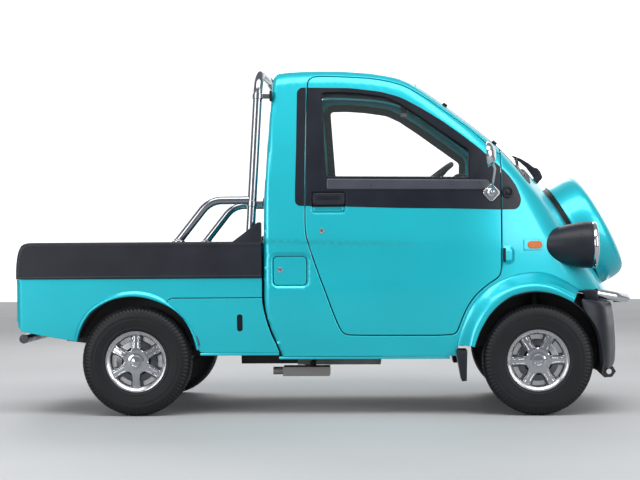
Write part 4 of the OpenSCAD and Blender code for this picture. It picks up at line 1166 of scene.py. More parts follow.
b_r, b_l = both_sides(g, "bed_side", [PAINT, CHASSIS], slot="paint")
dn_arc = ARC[i_h:]
SLOT = fillet(mm([(-413, 388), (-387, 388), (-387, 467), (-413, 467)]), .0125, .003)
low = np.concatenate([dense([tuple(dn_arc[0]), (-.7385, .5185)], 0.006, closed=False)[:1], dn_arc[1:], dense([tuple(dn_arc[-1]), (-.585, .294), (-.562, .290), (-.2205, .290), (-.236, .328), (-.2565, .372), (-.275, .425), (-.2905, .484), (-.2960, .520), (-.2975, .5405), (-.712, .5405), (-.729, .532), tuple(dn_arc[0])], 0.008, closed=False)[1:-1]])
g = panel(dom_bed, ccw(low), [SLOT], t=0.014, grid=0.018, nrm=nB, inner_mat=1, edge=(0.0006, 0.0022), hole_roll=0.6)
both_sides(g, "bed_lower_side", [PAINT, CHASSIS], slot="paint")
g = panel(dom_bed, offset(ccw(SLOT), 0.0005), t=0.006, grid=0.02, lift=-0.006, nrm=nB)
both_sides(g, "bed_slot_back", [SEAL])
# thin flanges along the bottom of the bed and of the sill
for nm, a, b, z, yy in (("bed_bottom_flange", -.585, -.222, .2905, .584), ("sill_flange", -.222, .56, .272, .580)):
    o = prism(nm + "_right", [(a, -yy + .002), (b, -yy + .002), (b, -yy - .007), (a, -yy - .007)], "z", z - .013, z - .0005, PAINT, r=0.0025, seg=2, slot="paint"); mirror_mesh(o, nm + "_left", "truck")
# raised edge round the rear arch
FLR = mm([(-1166, 352), (-1153, 410), (-1128, 458), (-1091, 503), (-1044, 535), (-997, 557), (-951, 571), (-891, 578), (-835, 574), (-789, 560), (-748, 538), (-722, 516), (-680, 478), (-640, 420), (-612, 350), (-604, 305)])
Fo = resample(FLR, 100, 0.05)
def arch_band():
    j3 = dom_bed(Fo); e3 = dom_bed(ARC); S = []
    for i in range(100):
        J, E = j3[i], e3[i]
        e = E + np.array([0, -.012, 0])
        d = E - J; d[1] = 0; L = np.linalg.norm(d); dn = d / max(L, 1e-6)
        mid = J * .5 + e * .5 + np.array([0, -.001, 0])
        row = [J + np.array([0, .003, 0]), J + np.array([0, -.0005, 0]), J * .8 + e * .2 + np.array([0, -.0002, 0]), mid + np.array([0, -.004, 0]), J * .2 + e * .8 + np.array([0, -.003, 0]), e,
               e + dn * .003 + np.array([0, .003, 0]), e + dn * .003 + np.array([0, .024, 0]), e - dn * .002 + np.array([0, .024, 0]), e - dn * .002 + np.array([0, .008, 0]), J + np.array([0, .008, 0])]
        S.append(row)
    return np.array(S)
o = loft("rear_arch_band_right", arch_band(), PAINT, slot="paint", sharp=55); mirror_mesh(o, "rear_arch_band_left", "truck")
# tail apron, with rounded corners that meet the sides
tz = np.arange(0.445, 0.6321, 0.008)
edge_t = [(-(float(B_(z)) - 0.0005 - 0.030 * (1 - math.sqrt(0.5))), z) for z in tz]
tail = edge_t + [(0.0 + y, .632) for y in np.arange(-.60, .601, .02)] + [(-a, z) for a, z in edge_t[::-1]] + [(y, .437) for y in np.arange(.58, -.581, -.02)]
g = panel(dom_tail, ccw(np.array(tail)), t=0.012, grid=0.024, nrm=nB, inner_mat=1, flush=lambda L: np.array([abs(q[0]) > .585 for q in L]))
tl = g.emit("tail_apron", [PAINT, CHASSIS], "truck", "paint")
# floor with pressed ribs, front wall and bearers
o = prism("bed_floor_sheet", [(-1.408, -.574), (-.322, -.574), (-.322, .574), (-1.408, .574)], "z", .622, .640, PAINT, r=0.001, seg=1, slot="paint")
ribs = []
for k in range(11):
    y = -.50 + .1 * k
    ribs.append(prism("rib%d" % k, [(-1.395, y - .018), (-.34, y - .018), (-.34, y + .018), (-1.395, y + .018)], "z", .638, .6445, PAINT, r=0.005, seg=3))
ribs = join("bed_floor_ribs", ribs, "truck", "paint")
o2 = rbox("bed_front_wall", (-.322, -.575, .622), (-.300, .575, .800), PAINT, r=.004, slot="paint")
pr = [rbox("press%d" % k, (-.3265, -.50 + .34 * k, .672), (-.318, -.20 + .34 * k, .770), PAINT, r=.008, seg=3) for k in range(3)]
join("bed_front_pressings", pr, "truck", "paint")
bear = [rbox("bearer%d" % k, (x, -.560, .5), (x + .05, .560, .622), CHASSIS, r=.004) for k, x in enumerate((-1.36, -1.12, -.64, -.40))]
bear += [rbox("bearer_long%d" % k, (-1.42, y - .02, .47), (-.31, y + .02, .50), CHASSIS, r=.003) for k, y in enumerate((-.28, .28))]
join("bed_bearers", bear, "truck")
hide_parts("bed_body")
# inner wheel housings, one L section turned round each wheel
def housing(name, cx, cz, r, y0, y1, a0, a1, low=0.06, n=44):
    S = []
    for a in np.radians(np.linspace(a0, a1, n)):
        c, s_ = math.cos(a), math.sin(a)
        ring = [(r, y0), (r, y1), (low, y1), (low, y1 - .004), (r - .004, y1 - .004), (r - .004, y0)]
        S.append([(cx + q * c, y, cz + q * s_) for q, y in ring])
    o = loft(name + "_right", np.array(S), CHASSIS, sharp=30)
    mirror_mesh(o, name + "_left", "truck")
housing("rear_housing", -.878, .262, .300, -.600, -.448, 12, 162)
housing("front_housing", .958, .262, .302, -.598, -.345, -14, 166)

# bed rail: a deep moulding with a lip, and a wing up to the cab
OUT = 0.6215
def rail_plan(off, top=False):
    return fillet([(-.2985, -OUT + off), (-.2985, -.574), (-1.407, -.574), (-1.4075, -.508), (-1.4395 + off, -.508), (-1.4395 + off, -OUT + off)], [0, 0, .004, .002, .004, .034 - off * .5], 0.02)
def rail_side():
    prof = [(-1.4335, .634), (-1.4325, .690), (-1.4270, .738), (-1.4180, .770), (-1.4050, .789), (-1.3860, .7985), (-1.362, .8015)]
    o = spline2(prof, 4)
    return [(-.2985, .8015), (-.2985, .634)] + o
def spline2(P, n):
    P = np.array(P, float); Q = [P[0]]
    for i in range(len(P) - 1):
        p0 = P[max(i - 1, 0)]; p1 = P[i]; p2 = P[i + 1]; p3 = P[min(i + 2, len(P) - 1)]
        for k in range(1, n + 1):
            t = k / n
            Q.append(0.5 * ((2 * p1) + (-p0 + p2) * t + (2 * p0 - 5 * p1 + 4 * p2 - p3) * t * t + (-p0 + 3 * p1 - 3 * p2 + p3) * t ** 3))
    return [tuple(q) for q in Q]
def rail_shell():
    side = np.array(rail_side()[2:]); top = dense([tuple(side[-1]), (-.2985, .8015)], .03, closed=False)[1:]
    run = np.concatenate([side, top]); S = []
    for i, (x, z) in enumerate(run):
        t0 = run[min(i + 1, len(run) - 1)] - run[max(i - 1, 0)]; t0 /= np.linalg.norm(t0); nx, nz = -t0[1], t0[0]
        inn = -.524 if x > -1.407 else -.508
        pts = []
        for y, d in ((-OUT, .020), (-OUT, .0085), (-OUT + .0018, .0040), (-OUT + .0050, .0012), (-OUT + .010, 0.0), (-.560, 0.0), (inn - .006, 0.0), (inn - .001, .0012), (inn, .004), (inn, .020), (-OUT + .008, .020)):
            pts.append((x - nx * d, y, z - nz * d))
        S.append(pts)
    return np.array(S)
parts = [loft("rail_roll", rail_shell(), BLACK, sharp=50)]
lo = [(-.2985, .7865), (-.2985, .634)] + [(x + .014, min(z, .7865)) for x, z in rail_side()[2:] if z < .784]
parts.append(prism("rail_face", lo, "y", -OUT + .0015, -.576, BLACK, r=0.0, seg=1))
parts.append(prism("rail_in_lip", [(-.2985, -.526), (-.2985, -.576), (-1.40, -.576), (-1.40, -.526)], "z", .7795, .7900, BLACK, r=0.0, seg=1))
parts.append(prism("rail_bead", [(-.2985, .6335), (-.2985, .6465), (-1.430, .6465), (-1.4325, .6335)], "y", -OUT - .0012, -.60, BLACK, r=0.003, seg=3))
parts.append(prism("rail_end", [(x, z) for x, z in [(-1.405, .634)] + [(q[0] + .002, min(q[1], .786)) for q in rail_side()[2:] if q[1] < .785] + [(-1.405, .784)]], "y", -.600, -.508, BLACK, r=0.0, seg=1))
wing = fillet(mm([(-299, 780), (-299, 890), (-316, 888), (-364, 850), (-429, 802), (-470, 780)]), [0, .006, .012, .03, .03, 0], 0.01)
parts.append(prism("rail_wing", [tuple(p) for p in wing], "y", -OUT + .001, -.576, BLACK, r=0.005, seg=3))
rl = join("bed_rail_moulding_right", parts, "truck", "black_plastic")
rl2 = mirror_mesh(rl, "bed_rail_moulding_left", "truck")
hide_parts("bed_rail")
# drop gate: outer skin with a raised rim and three long pressings, latch handle in the middle
gate = [rbox("gate_panel", (-1.4355, -.505, .648), (-1.4175, .505, .790), PAINT, "rear_gate", r=.003),
        rbox("gate_top", (-1.4360, -.505, .764), (-1.4125, .505, .784), PAINT, "rear_gate", r=.0095, seg=4),
        rbox("gate_bottom", (-1.4395, -.505, .6465), (-1.4145, .505, .664), PAINT, "rear_gate", r=.006, seg=3)]
for k in range(3):
    gate.append(rbox("gp%d" % k, (-1.4398, -.48 + .33 * k, .683), (-1.430, -.18 + .33 * k, .755), PAINT, "rear_gate", r=.004, seg=3))
gt = join("gate_skin", gate, "rear_gate", "paint")
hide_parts("tailgate")
hd = [rbox("hd0", (-1.4425, -.055, .760), (-1.434, .055, .774), BLACK, "rear_gate", r=.002)]
join("gate_latch", hd, "rear_gate", "black_plastic")
# tail lamps: dark bezel with red, amber and clear lenses
lamp = []
lamp.append(rbox("tl_bezel", (-1.4388, -.572, .474), (-1.430, -.404, .606), BLACK, r=.002))
lamp.append(rbox("tl_red", (-1.4405, -.566, .522), (-1.434, -.410, .600), RED, r=.0035, seg=3))
lamp.append(rbox("tl_amber", (-1.4405, -.566, .480), (-1.434, -.490, .519), AMBER, r=.0035, seg=3))
lamp.append(rbox("tl_white", (-1.4405, -.487, .480), (-1.434, -.410, .519), LAMP_WHITE, r=.0035, seg=3))
tlr = join("tail_lamp_right", lamp, "truck", "red_lens"); mirror_mesh(tlr, "tail_lamp_left", "truck")
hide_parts("tail_lamps")
rbox("number_plate_rear", (-1.4410, -.165, .478), (-1.4395, .165, .598), PLATE, r=.001)
rbox("plate_lamp", (-1.4430, -.05, .6055), (-1.436, .05, .618), BLACK, r=.002)

# roll bar: a hoop, two side bars and stays, in bright tube
def hoop():
    t = math.radians(3.4); R = tube_R
    def at(y, u): return (-.356 + u * math.sin(t), y, .801 + u * math.cos(t))
    return arc_path([at(-.548, 0), at(-.548, .780), at(0, .797), at(.548, .780), at(.548, 0)], .110, 12)
tube_R = .02135
hp = tube("rollbar_hoop", hoop(), tube_R, BAR, seg=28)
sb = tube("rollbar_side_right", arc_path([(-.350, -.548, .992), (-.540, -.548, .992), (-.690, -.548, .802)], .115, 12), .0195, BAR, seg=24)
sbl = mirror_mesh(sb, "rollbar_side_left", "truck")
ft = []
for sgn in (-1, 1):
    for x in (-.356, -.688):
        ft.append(lathe("foot", [(0, 0), (.030, 0), (.030, .004), (.027, .006), (.0225, .007), (.0215, .012), (0, .012)], (x, sgn * .548, .8015), (0, 0, 1), BAR, seg=36))
        for q in range(3):
            an = q * 2.1 + .5
            ft.append(lathe("bolt", [(0, 0), (.0045, 0), (.0045, .003), (.003, .0045), (0, .0045)], (x + .0255 * math.cos(an), sgn * (.548) + .0255 * math.sin(an), .8065), (0, 0, 1), STEEL, seg=6))
    for z in (1.471, .976):
        xh = -.356 + (z - .801) * math.tan(math.radians(3.4))
        ft.append(rbox("stay", (xh, sgn * .548 - .008, z - .012), (float(XR(z)) + .004, sgn * .548 + .008, z + .012), BAR, r=.003))
        ft.append(rbox("stay_pad", (float(XR(z)) - .005, sgn * .548 - .018, z - .024), (float(XR(z)) + .006, sgn * .548 + .018, z + .024), SEAL, r=.003))
        ft.append(lathe("collar", [(.0216, -.014), (.0245, -.012), (.0245, .012), (.0216, .014)], (xh, sgn * .548, z), (math.sin(.0593), 0, math.cos(.0593)), BAR, seg=28))
ft.append(rbox("top_item", (-.318, -.060, 1.588), (-.286, .060, 1.606), BLACK, r=.005, seg=3))
join("rollbar_fittings", ft, "truck", "chrome_trim")
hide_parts("roll_bar")
# rear tube below the tail
rt = tube("rear_tube", [(-1.42, -.52, .353), (-1.42, -.31, .353), (-1.42, .31, .353), (-1.42, .52, .353)], tube_R, DARK_TUBE, seg=28, radii=[tube_R] * 4)
cp = [lathe("cap%d" % k, [(tube_R - .003, 0), (tube_R - .0005, .002), (tube_R + .0002, .0), ], (-1.42, s * .519, .353), (0, s, 0), SEAL, seg=24) for k, s in ((0, -1), (1, 1))]
br = [rbox("rbr%d" % k, (-1.42, s * .276 - .014, .366), (-1.33, s * .276 + .014, .400), CHASSIS, r=.003) for k, s in ((0, -1), (1, 1))]
join("rear_tube_fittings", cp + br, "truck"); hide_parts("rear_bar")

# ---------------------------------------------------------------- bumper, bars and lamps
XP = 1.17
def FBU(p):
    x, y, z = p[..., 0], np.abs(p[..., 1]), p[..., 2]
    dx = np.interp(z, [.205, .23, .281, .34, .404, .46, .497, .52, .545], [-.010, -.003, 0, -.001, -.004, -.010, -.018, -.027, -.040])
    dy = np.interp(z, [.205, .30, .45, .545], [-.012, 0, 0, -.006])
    f = rmin(0.641 + dy - y, (1.372 + dx - 0.27 * y * y - x) * 0.97, 0.085)
    ft = 0.541 - 0.13 * np.maximum(0, x - 1.14) - z
    return rmin(f, ft, 0.022)
def gradU(p, h=6e-4):
    g = np.stack([(FBU(p + np.eye(3)[i] * h) - FBU(p - np.eye(3)[i] * h)) / (2 * h) for i in range(3)], -1)
    return -g / np.maximum(np.linalg.norm(g, axis=-1, keepdims=True), 1e-9)
LB = FR * math.pi
def dom_bumper(q):
    a, z = q[:, 0], q[:, 1]
    al = np.clip((a - XP) / FR, 0, math.pi)
    over = np.maximum(0, (a - XP) - LB)
    o = np.stack([np.minimum(a, XP) - over, 0 * a, z], 1)
    d = np.stack([np.sin(al), -np.cos(al), 0 * a], 1)
    A = np.zeros(len(a)); B = np.full(len(a), 0.9)
    for _ in range(26):
        m = (A + B) / 2; ins = FBU(o + d * m[:, None]) > 0
        A = np.where(ins, m, A); B = np.where(ins, B, m)
    return o + d * ((A + B) / 2)[:, None]
def to_b(x, z):
    """Place on the right side of the bumper given (x, z)."""
    y = np.linspace(0, .70, 1400)
    f = FBU(np.stack([np.full(1400, x), -y, np.full(1400, z)], 1)); k = np.where(f > 0)[0]
    yy = y[k[-1]] if len(k) else .6
    if x <= XP: return (x, z)
    return (XP + FR * math.atan2(x - XP, yy), z)
edge_r = [(1156, 515), (1162, 490), (1172, 470), (1192, 443), (1213, 413), (1229, 380), (1240, 345), (1246, 315), (1249, 285), (1252, 245), (1262, 222), (1275, 214)]
er = [to_b(a / 1000, b / 1000) for a, b in edge_r]
bot = [(a, .2075) for a in np.arange(er[-1][0] + .02, XP + LB / 2, .02)]
rt_half = er + bot
mir = lambda P: [(2 * (XP + LB / 2) - a, b) for a, b in P[::-1]]
def top_z(a):
    q = np.array([[a, .30]]); p = dom_bumper(q)[0]
    return 0.541 - 0.13 * max(0, p[0] - 1.14) - 0.0065
ta = np.arange(er[0][0], XP + LB / 2, .015)
th_ = [(a, top_z(a)) for a in ta]
bl2 = rt_half + mir(rt_half) + mir(th_) + th_[::-1]
bl2 = np.array(bl2); kk = np.linalg.norm(bl2 - np.roll(bl2, 1, 0), axis=1) > .0008; bl2 = bl2[kk]
bl2 = dense([tuple(q) for q in bl2], 0.012)
g = panel(dom_bumper, ccw(bl2), t=0.020, grid=0.020, nrm=lambda q, p: gradU(p), edge=(0.001, 0.003))
bu = g.emit("bumper_skin", [BLACK], "truck", "black_plastic")
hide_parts("front_bumper")
# shelf on top of the bumper, back to the nose
def shelf():
    ys = np.linspace(-.585, .585, 60)
    front = [(1.357 - .27 * y * y - .022 - .10 * max(0, abs(y) - .50), y) for y in ys]
    back = [(max(1.165, 1.300 - .45 * y * y), y) for y in ys[::-1]]
    return prism("bumper_shelf", front + back, "z", .500, .516, BLACK, r=0.0, slot="black_plastic")
shelf()
# three black slats of the lower grille in the bumper's middle, and the front number plate
def on_bumper(name, half, z0, z1, lift, mat, r=.004):
    x = 1.372 - .27 * half * half; al = math.atan2(x - XP, half)
    a0, a1 = XP + FR * al, XP + FR * (math.pi - al)
    g_ = panel(dom_bumper, ccw(fillet([(a0, z0), (a1, z0), (a1, z1), (a0, z1)], r, .004)), t=.006, grid=.02, lift=lift, nrm=lambda q, p: gradU(p), edge=(.0004, .001))
    return g_.emit(name, [mat], "truck")
for k in range(3):
    on_bumper("bumper_slat%d" % k, .15, .232 + .026 * k, .244 + .026 * k, .0015, TRIM)
on_bumper("number_plate_front", .165, .335, .465, .003, PLATE)

def spline(P, n):
    P = np.array(P, float); Q = [P[0]]
    for i in range(len(P) - 1):
        p0 = P[max(i - 1, 0)]; p1 = P[i]; p2 = P[i + 1]; p3 = P[min(i + 2, len(P) - 1)]
        for k in range(1, n + 1):
            t = k / n
            Q.append(0.5 * ((2 * p1) + (-p0 + p2) * t + (2 * p0 - 5 * p1 + 4 * p2 - p3) * t * t + (-p0 + 3 * p1 - 3 * p2 + p3) * t ** 3))
    return [tuple(q) for q in Q]

# chrome guard bar, bent round the corners and leaning a little
def bar_pts():
    c, s_ = math.cos(math.radians(10)), math.sin(math.radians(10))
    def at(u, v): return (1.422 + u * c, v, .519 - u * s_)
    
    q = [at(-.006 - .30 * v * v, v) for v in np.linspace(-.28, .28, 9)]
    e = (-.178, -.452)
    pts = [at(e[0], e[1]), at(-.085, -.415)] + q + [at(-.085, .415), at(e[0], -e[1])]
    return spline([tuple(p) for p in arc_path(pts[:2] + [at(-.030, -.345)] + pts[2:-2] + [at(-.030, .345)] + pts[-2:], .05, 6)], 1), at(e[0], e[1])
bp, bend = bar_pts()
gb = tube("guard_bar", bp, .0215, CHROME, seg=30, slot="chrome_trim")
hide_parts("front_guard_bar")
fb = []
for s_ in (-1, 1):
    fb.append(rbox("gb1", (bend[0] - .065, s_ * .452 - .024, .512), (bend[0] + .004, s_ * .452 + .024, .568), BLACK, r=.008, seg=3))
    fb.append(rbox("gb2", (1.352, s_ * .215 - .014, .500), (1.418, s_ * .215 + .014, .528), BLACK, r=.004))
    fb.append(lathe("gb3", [(0, 0), (.020, 0), (.022, .003), (.022, .010), (.0205, .012)], (bend[0] + .002, bend[1] * (-s_), bend[2]), (-math.sin(math.radians(70)), s_ * math.cos(math.radians(70)), .16), CHROME, seg=24))
join("guard_bar_brackets", fb, "truck")

# headlamp bodies
def pod(sy, tag):
    O = (.985, sy * .465, .775); ax = (1, 0, 0)
    prof = spline([(0, -.0140), (.020, -.0125), (.038, -.006), (.050, .002), (.059, .017), (.070, .045), (.080, .075), (.0895, .105), (.097, .137), (.1025, .165), (.106, .190), (.1073, .210)], 3)
    prof = prof + [(.1075, .2255), (.1088, .2275), (.1088, .2335), (.1055, .236), (.100, .2365), (.090, .232), (.060, .195), (.0, .180)]
    a = lathe("headlamp_body_" + tag, prof, O, ax, BLACK, seg=96, slot="black_plastic", sharp=32)
    ring = [(.100, .2335), (.1055, .236), (.1080, .241), (.1078, .250), (.1045, .256), (.099, .2585), (.093, .257), (.0905, .252), (.0905, .240), (.100, .2335)]
    b = lathe("headlamp_ring_" + tag, ring, O, ax, CHROME, seg=96, slot="chrome_trim", sharp=60)
    bowl = [(.0905, .2520), (.086, .238), (.076, .220), (.060, .203), (.040, .192), (.018, .1865), (0, .1855), (0, .1835), (.018, .1845), (.040, .190), (.062, .201), (.078, .218), (.089, .238), (.092, .249), (.0905, .2520)]
    c = lathe("headlamp_bowl_" + tag, bowl, O, ax, CHROME, seg=72, sharp=80)
    gl = [(.0900, .2535), (.082, .2605), (.065, .2665), (.040, .2705), (.020, .272), (0, .2725), (0, .2700), (.020, .2695), (.040, .268), (.065, .264), (.0815, .258), (.0890, .2510), (.0900, .2535)]
    d = lathe("headlamp_lens_" + tag, gl, O, ax, LAMP_GLASS, seg=72, sharp=80)
    bulb = lathe("headlamp_bulb_" + tag, [(0, .186), (.013, .187), (.013, .205), (.010, .207), (.0085, .212), (.0085, .226), (.006, .231), (0, .232)], O, ax, STEEL, seg=24)
    scr = lathe("headlamp_screw_" + tag, [(0, -.002), (.0065, -.002), (.0065, .001), (.005, .0025), (0, .0025)], (1.165, sy * (.465 + .0905), .826), (0, sy * .87, .49), TRIM, seg=16)
    return a
pr_ = pod(-1, "right"); pl_ = pod(1, "left")
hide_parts("headlamp_right"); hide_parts("headlamp_left")

# spare wheel cover on the nose with its rubber seat
AXS = (math.sin(math.radians(61.4)), 0, math.cos(math.radians(61.4))); OS = (1.187, 0, .821)
dome = spline([(.2715, .010), (.2715, .050), (.2700, .078), (.2655, .102), (.2560, .121), (.2400, .1345), (.2180, .1410), (.1850, .1440), (.1300, .1465), (.07, .1485), (0, .149)], 6)
prof = [(.262, -.006), (.2685, -.006), (.2725, -.0045), (.2735, -.001), (.2728, .003)] + dome[:-1] + [(0, .149), (0, .145), (.10, .143), (.20, .138), (.245, .122), (.263, .090), (.267, .010), (.262, .002), (.262, -.006)]
sc_ = lathe("spare_cover_shell", prof, OS, AXS, PAINT, seg=128, slot="paint", sharp=50)
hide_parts("spare_wheel_cover")
lathe("spare_cover_seat", [(.240, -.050), (.258, -.050), (.264, -.030), (.266, -.004), (.262, .002), (.240, .002), (.240, -.050)], OS, AXS, SEAL, seg=96)

# side marker, hinge cover and the round boss by the mirror
F3 = lambda P: to_front(side3(P))
g = panel(dom_front, ccw(F3(fillet(mm([(993, 752), (993, 804), (899, 804), (899, 752)]), [.025, .025, .006, .006], .004))), t=0.010, grid=0.010, lift=0.0045, edge=(0.001, 0.0035))
mk = both_sides(g, "marker_bezel", [PAINT])
g = panel(dom_front, ccw(F3(fillet(mm([(986, 760), (986, 795), (917, 795), (917, 760)]), [.0165, .0165, .0165, .0165], .004))), t=0.008, grid=0.008, lift=0.0080, edge=(0.001, 0.0035))
mk = both_sides(g, "marker_lens", [AMBER], slot="amber")
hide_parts("side_markers")
bump2 = ccw(F3(fillet(mm([(804, 688), (846, 686), (861, 706), (861, 757), (846, 777), (804, 775)]), [.002, .022, .022, .022, .022, .002], .004)))
def bump_fn(loop, high, run):
    P3_ = dom_front(loop); keep_ = P3_[:, 0] > .8075
    sub = loop[keep_]
    def depth(q): return high * sstep(seg_dist(q, sub) / run) + .0006
    def dd_(q):
        p = dom_front(q); return p + out_normal(p) * depth(q)[:, None]
    def nn_(q, p):
        e = 5e-4
        a = dd_(q + [e, 0]) - dd_(q - [e, 0]); b = dd_(q + [0, e]) - dd_(q - [0, e])
        c = np.cross(a, b); c /= np.linalg.norm(c, axis=1, keepdims=True)
        return c * np.sign((c * out_normal(p)).sum(1))[:, None]
    return dd_, nn_
d3, n3 = bump_fn(bump2, .013, .024)
g = panel(d3, bump2, t=0.012, grid=0.005, nrm=n3, edge=(0.0004, 0.001))
both_sides(g, "hinge_cover", [PAINT], slot="paint")
# black sheet over the open rear side of the hinge cover: painted shade in the opening
g = panel(dom_front, ccw(F3(fillet(mm([(814, 700), (814, 764), (8035 / 10, 764), (8035 / 10, 700)]), .003, .004))), t=0.012, grid=0.01, lift=0.0142, edge=(0.0004, 0.001))
both_sides(g, "hinge_opening_painted_shade", [SEAL])
bs = side3([(.828, 1.018)]); bn = out_normal(bs)[0]
o = lathe("pillar_boss_right", [(0, 0), (.028, 0), (.0275, .006), (.025, .0095), (.021, .010), (.0185, .007), (.016, .0065), (.0135, .0095), (.009, .013), (0, .0145)], bs[0], bn, TRIM, seg=48, sharp=30); mirror_mesh(o, "pillar_boss_left", "truck")
# door mirror on its stalk
mp = side3([(.751, 1.017)])[0]; mn = out_normal(side3([(.751, 1.017)]))[0]
base = fillet(mm([(752, 968), (797, 1016), (752, 1064), (709, 1016)]), .016, .004)
g = panel(dom_side, ccw(to_side(side3(base))), t=0.010, grid=0.012, lift=0.0085, edge=(0.0015, 0.004))
both_sides(g, "mirror_base", [CHROME], DB, slot="chrome_trim")
ms = [lathe("mb1", [(0, 0), (.021, 0), (.021, .010), (.018, .014), (.011, .017), (.011, .022), (0, .022)], mp + mn * .006, mn, CHROME, "right_door", seg=32),
      lathe("mb2", spline([(0, -.0135), (.0095, -.0095), (.0135, 0), (.0095, .0095), (0, .0135)], 4), mp + mn * .034, mn, CHROME, "right_door", seg=24),
      tube("mb3", arc_path([tuple(mp + mn * .034), (.757, -.672, 1.062), (.763, -.702, 1.118), (.752, -.716, 1.150)], .02, 6), .0062, CHROME, "right_door", seg=16)]
MC = (.745, -.718, 1.183)
ms.append(lathe("mh", spline([(0, -.0235), (.020, -.0215), (.040, -.014), (.052, -.003), (.0565, .007)], 4) + [(.0575, .010), (.0575, .015), (.0555, .0175), (.053, .016), (.0525, .0135)], MC, (-1, .10, -.03), CHROME, "right_door", seg=64))
ms.append(lathe("mf", [(.0528, .0130), (.0528, .0142), (0, .0142), (0, .0120), (.0528, .0120)], MC, (-1, .10, -.03), MIRROR, "right_door", seg=48))
mr = join("door_mirror_right", ms, "right_door", "chrome_trim"); ml = mirror_mesh(mr, "door_mirror_left", "left_door")
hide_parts("mirror_right"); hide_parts("mirror_left")
# wiper: a stout pivot, arm and blade lying on the glass
def on_glass(x, y, up=0.0):
    p = dom_top(np.array([[x, y]])); return p[0] + out_normal(p)[0] * up
arm = fillet([(.884, 1.203), (.918, 1.181), (.950, 1.152), (.975, 1.118), (.992, 1.092), (1.006, 1.082), (1.020, 1.088), (1.029, 1.103), (1.018, 1.130), (1.005, 1.146), (.985, 1.152), (.962, 1.171), (.922, 1.195), (.884, 1.209)], [.002, .02, .02, .02, .01, .004, .004, .006, .01, .006, .01, .02, .03, .002], .004)
wp = [prism("wp2", [tuple(p) for p in arm], "y", -.118, -.092, BLACK, r=.004, seg=3),
      lathe("wp1", [(0, -.03), (.016, -.03), (.016, .006), (.013, .010), (0, .010)], (1.006, -.105, 1.098), (.62, 0, .78), BLACK, seg=28),
      tube("wp4", [on_glass(.925 - .045 * t, .16 - .44 * t, .010 + .003 * math.sin(math.pi * t)) for t in np.linspace(0, 1, 14)], .0045, BLACK, seg=8),
      tube("wp5", [on_glass(.925 - .045 * t, .16 - .44 * t, .004) for t in np.linspace(0, 1, 14)], .003, SEAL, seg=6)]
w_ = join("wiper_assembly", wp, "truck", "black_plastic"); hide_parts("wiper")
# drip moulding ends on the pillars
for nm, x, z in (("drip_clip", .543, 1.473), ("pillar_end", .775, 1.276)):
    i = int(np.argmin(np.abs(ws3[:, 0] - x) + (ws3[:, 1] > 0) * 9)); p = ws3[i]; nn_ = out_normal(ws3[i:i + 1])[0]
    o = rbox(nm + "_right", p + np.array([-.010, -.008, -.004]), p + np.array([.014, .006, .012]), SEAL, r=.003, rot=("Y", 38)); mirror_mesh(o, nm + "_left", "truck")

# mud flaps behind the front wheels
o = prism("mud_flap_right", [(.612, .160), (.634, .162), (.638, .300), (.586, .300)], "y", -.640, -.470, BLACK, r=.003, slot="black_plastic"); o2 = mirror_mesh(o, "mud_flap_left", "truck")
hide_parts("mud_flaps")

# ---------------------------------------------------------------- tyres and wheels
def mesh_only(name, V, faces, mats, fm=None, angle=40):
    me = bpy.data.meshes.new(name); me.from_pydata([tuple(v) for v in np.asarray(V).tolist()], [], faces)
    for m in mats: me.materials.append(m)
    if fm is not None: me.polygons.foreach_set("material_index", np.array(fm, dtype=np.int32))
    me.polygons.foreach_set("use_smooth", np.ones(len(me.polygons), dtype=bool))
    bm = bmesh.new(); bm.from_mesh(me); bmesh.ops.recalc_face_normals(bm, faces=bm.faces)
    lim = math.radians(angle)
    for e in bm.edges:
        if len(e.link_faces) == 2 and e.calc_face_angle(0) > lim: e.smooth = False
    bm.to_mesh(me); bm.free(); me.update()
    return me
def tyre_mesh():
    half = [(.0575, .1285), (.0600, .1320), (.0618, .138), (.0640, .146), (.0655, .150), (.0668, .1525), (.0662, .1550), (.0680, .163), (.0690, .174), (.0696, .186), (.0703, .1905), (.0697, .195), (.0694, .204), (.0703, .2075), (.0694, .211),
            (.0686, .218), (.0670, .2255), (.0650, .2310), (.0620, .2370), (.0588, .2415), (.0550, .2450), (.0500, .2478), (.0440, .2497), (.0400, .2504), (.0385, .2506), (.0355, .2509), (.0340, .2510), (.0270, .2515), (.0195, .2518), (.0180, .2518), (.0150, .2519), (.0135, .2519), (.0070, .2520), (.0030, .2520), (.0020, .2520)]
    P = [(y, r) for y, r in half] + [(-y, r) for y, r in half[::-1]]
    P += [(-.052, .1290), (-.045, .170), (-.04, .215), (0, .2245), (.04, .215), (.045, .170), (.052, .1290)]
    K = 84; A = K * 5; m = len(P); yy = np.array([p[0] for p in P]); rr = np.array([p[1] for p in P])
    V = np.zeros((A, m, 3)); tread = (np.arange(m) < 2 * len(half))
    for i in range(A):
        a = 2 * math.pi * i / A; ph = i % 5
        r = rr.copy(); y = yy.copy()
        for j in range(2 * len(half)):
            ay = abs(yy[j])
            # straight grooves round the tread
            if .0360 < ay < .0395 or .0140 < ay < .0185 or (.0355 <= ay <= .0385): r[j] -= .0065
            sh = ph if yy[j] > 0 else (i + 2) % 5
            # knobs over the shoulder
            if ay >= .0400 and rr[j] > .222:
                if sh in (0, 1): r[j] -= .0026 if ay < .060 else .0; y[j] -= np.sign(yy[j]) * (.0024 if ay > .0545 else 0)
            # fine cross cuts in the middle ribs
            if ay < .034 and (i + (2 if .019 < ay else 0)) % 5 == 0 and not (.0130 < ay < .0190): r[j] -= .0035
        V[i, :, 0] = r * math.cos(a); V[i, :, 1] = y; V[i, :, 2] = r * math.sin(a)
    return mesh_only("tyre", V.reshape(-1, 3), grid_faces(A, m, wrap_n=True, wrap_m=True), [RUBBER], angle=32)
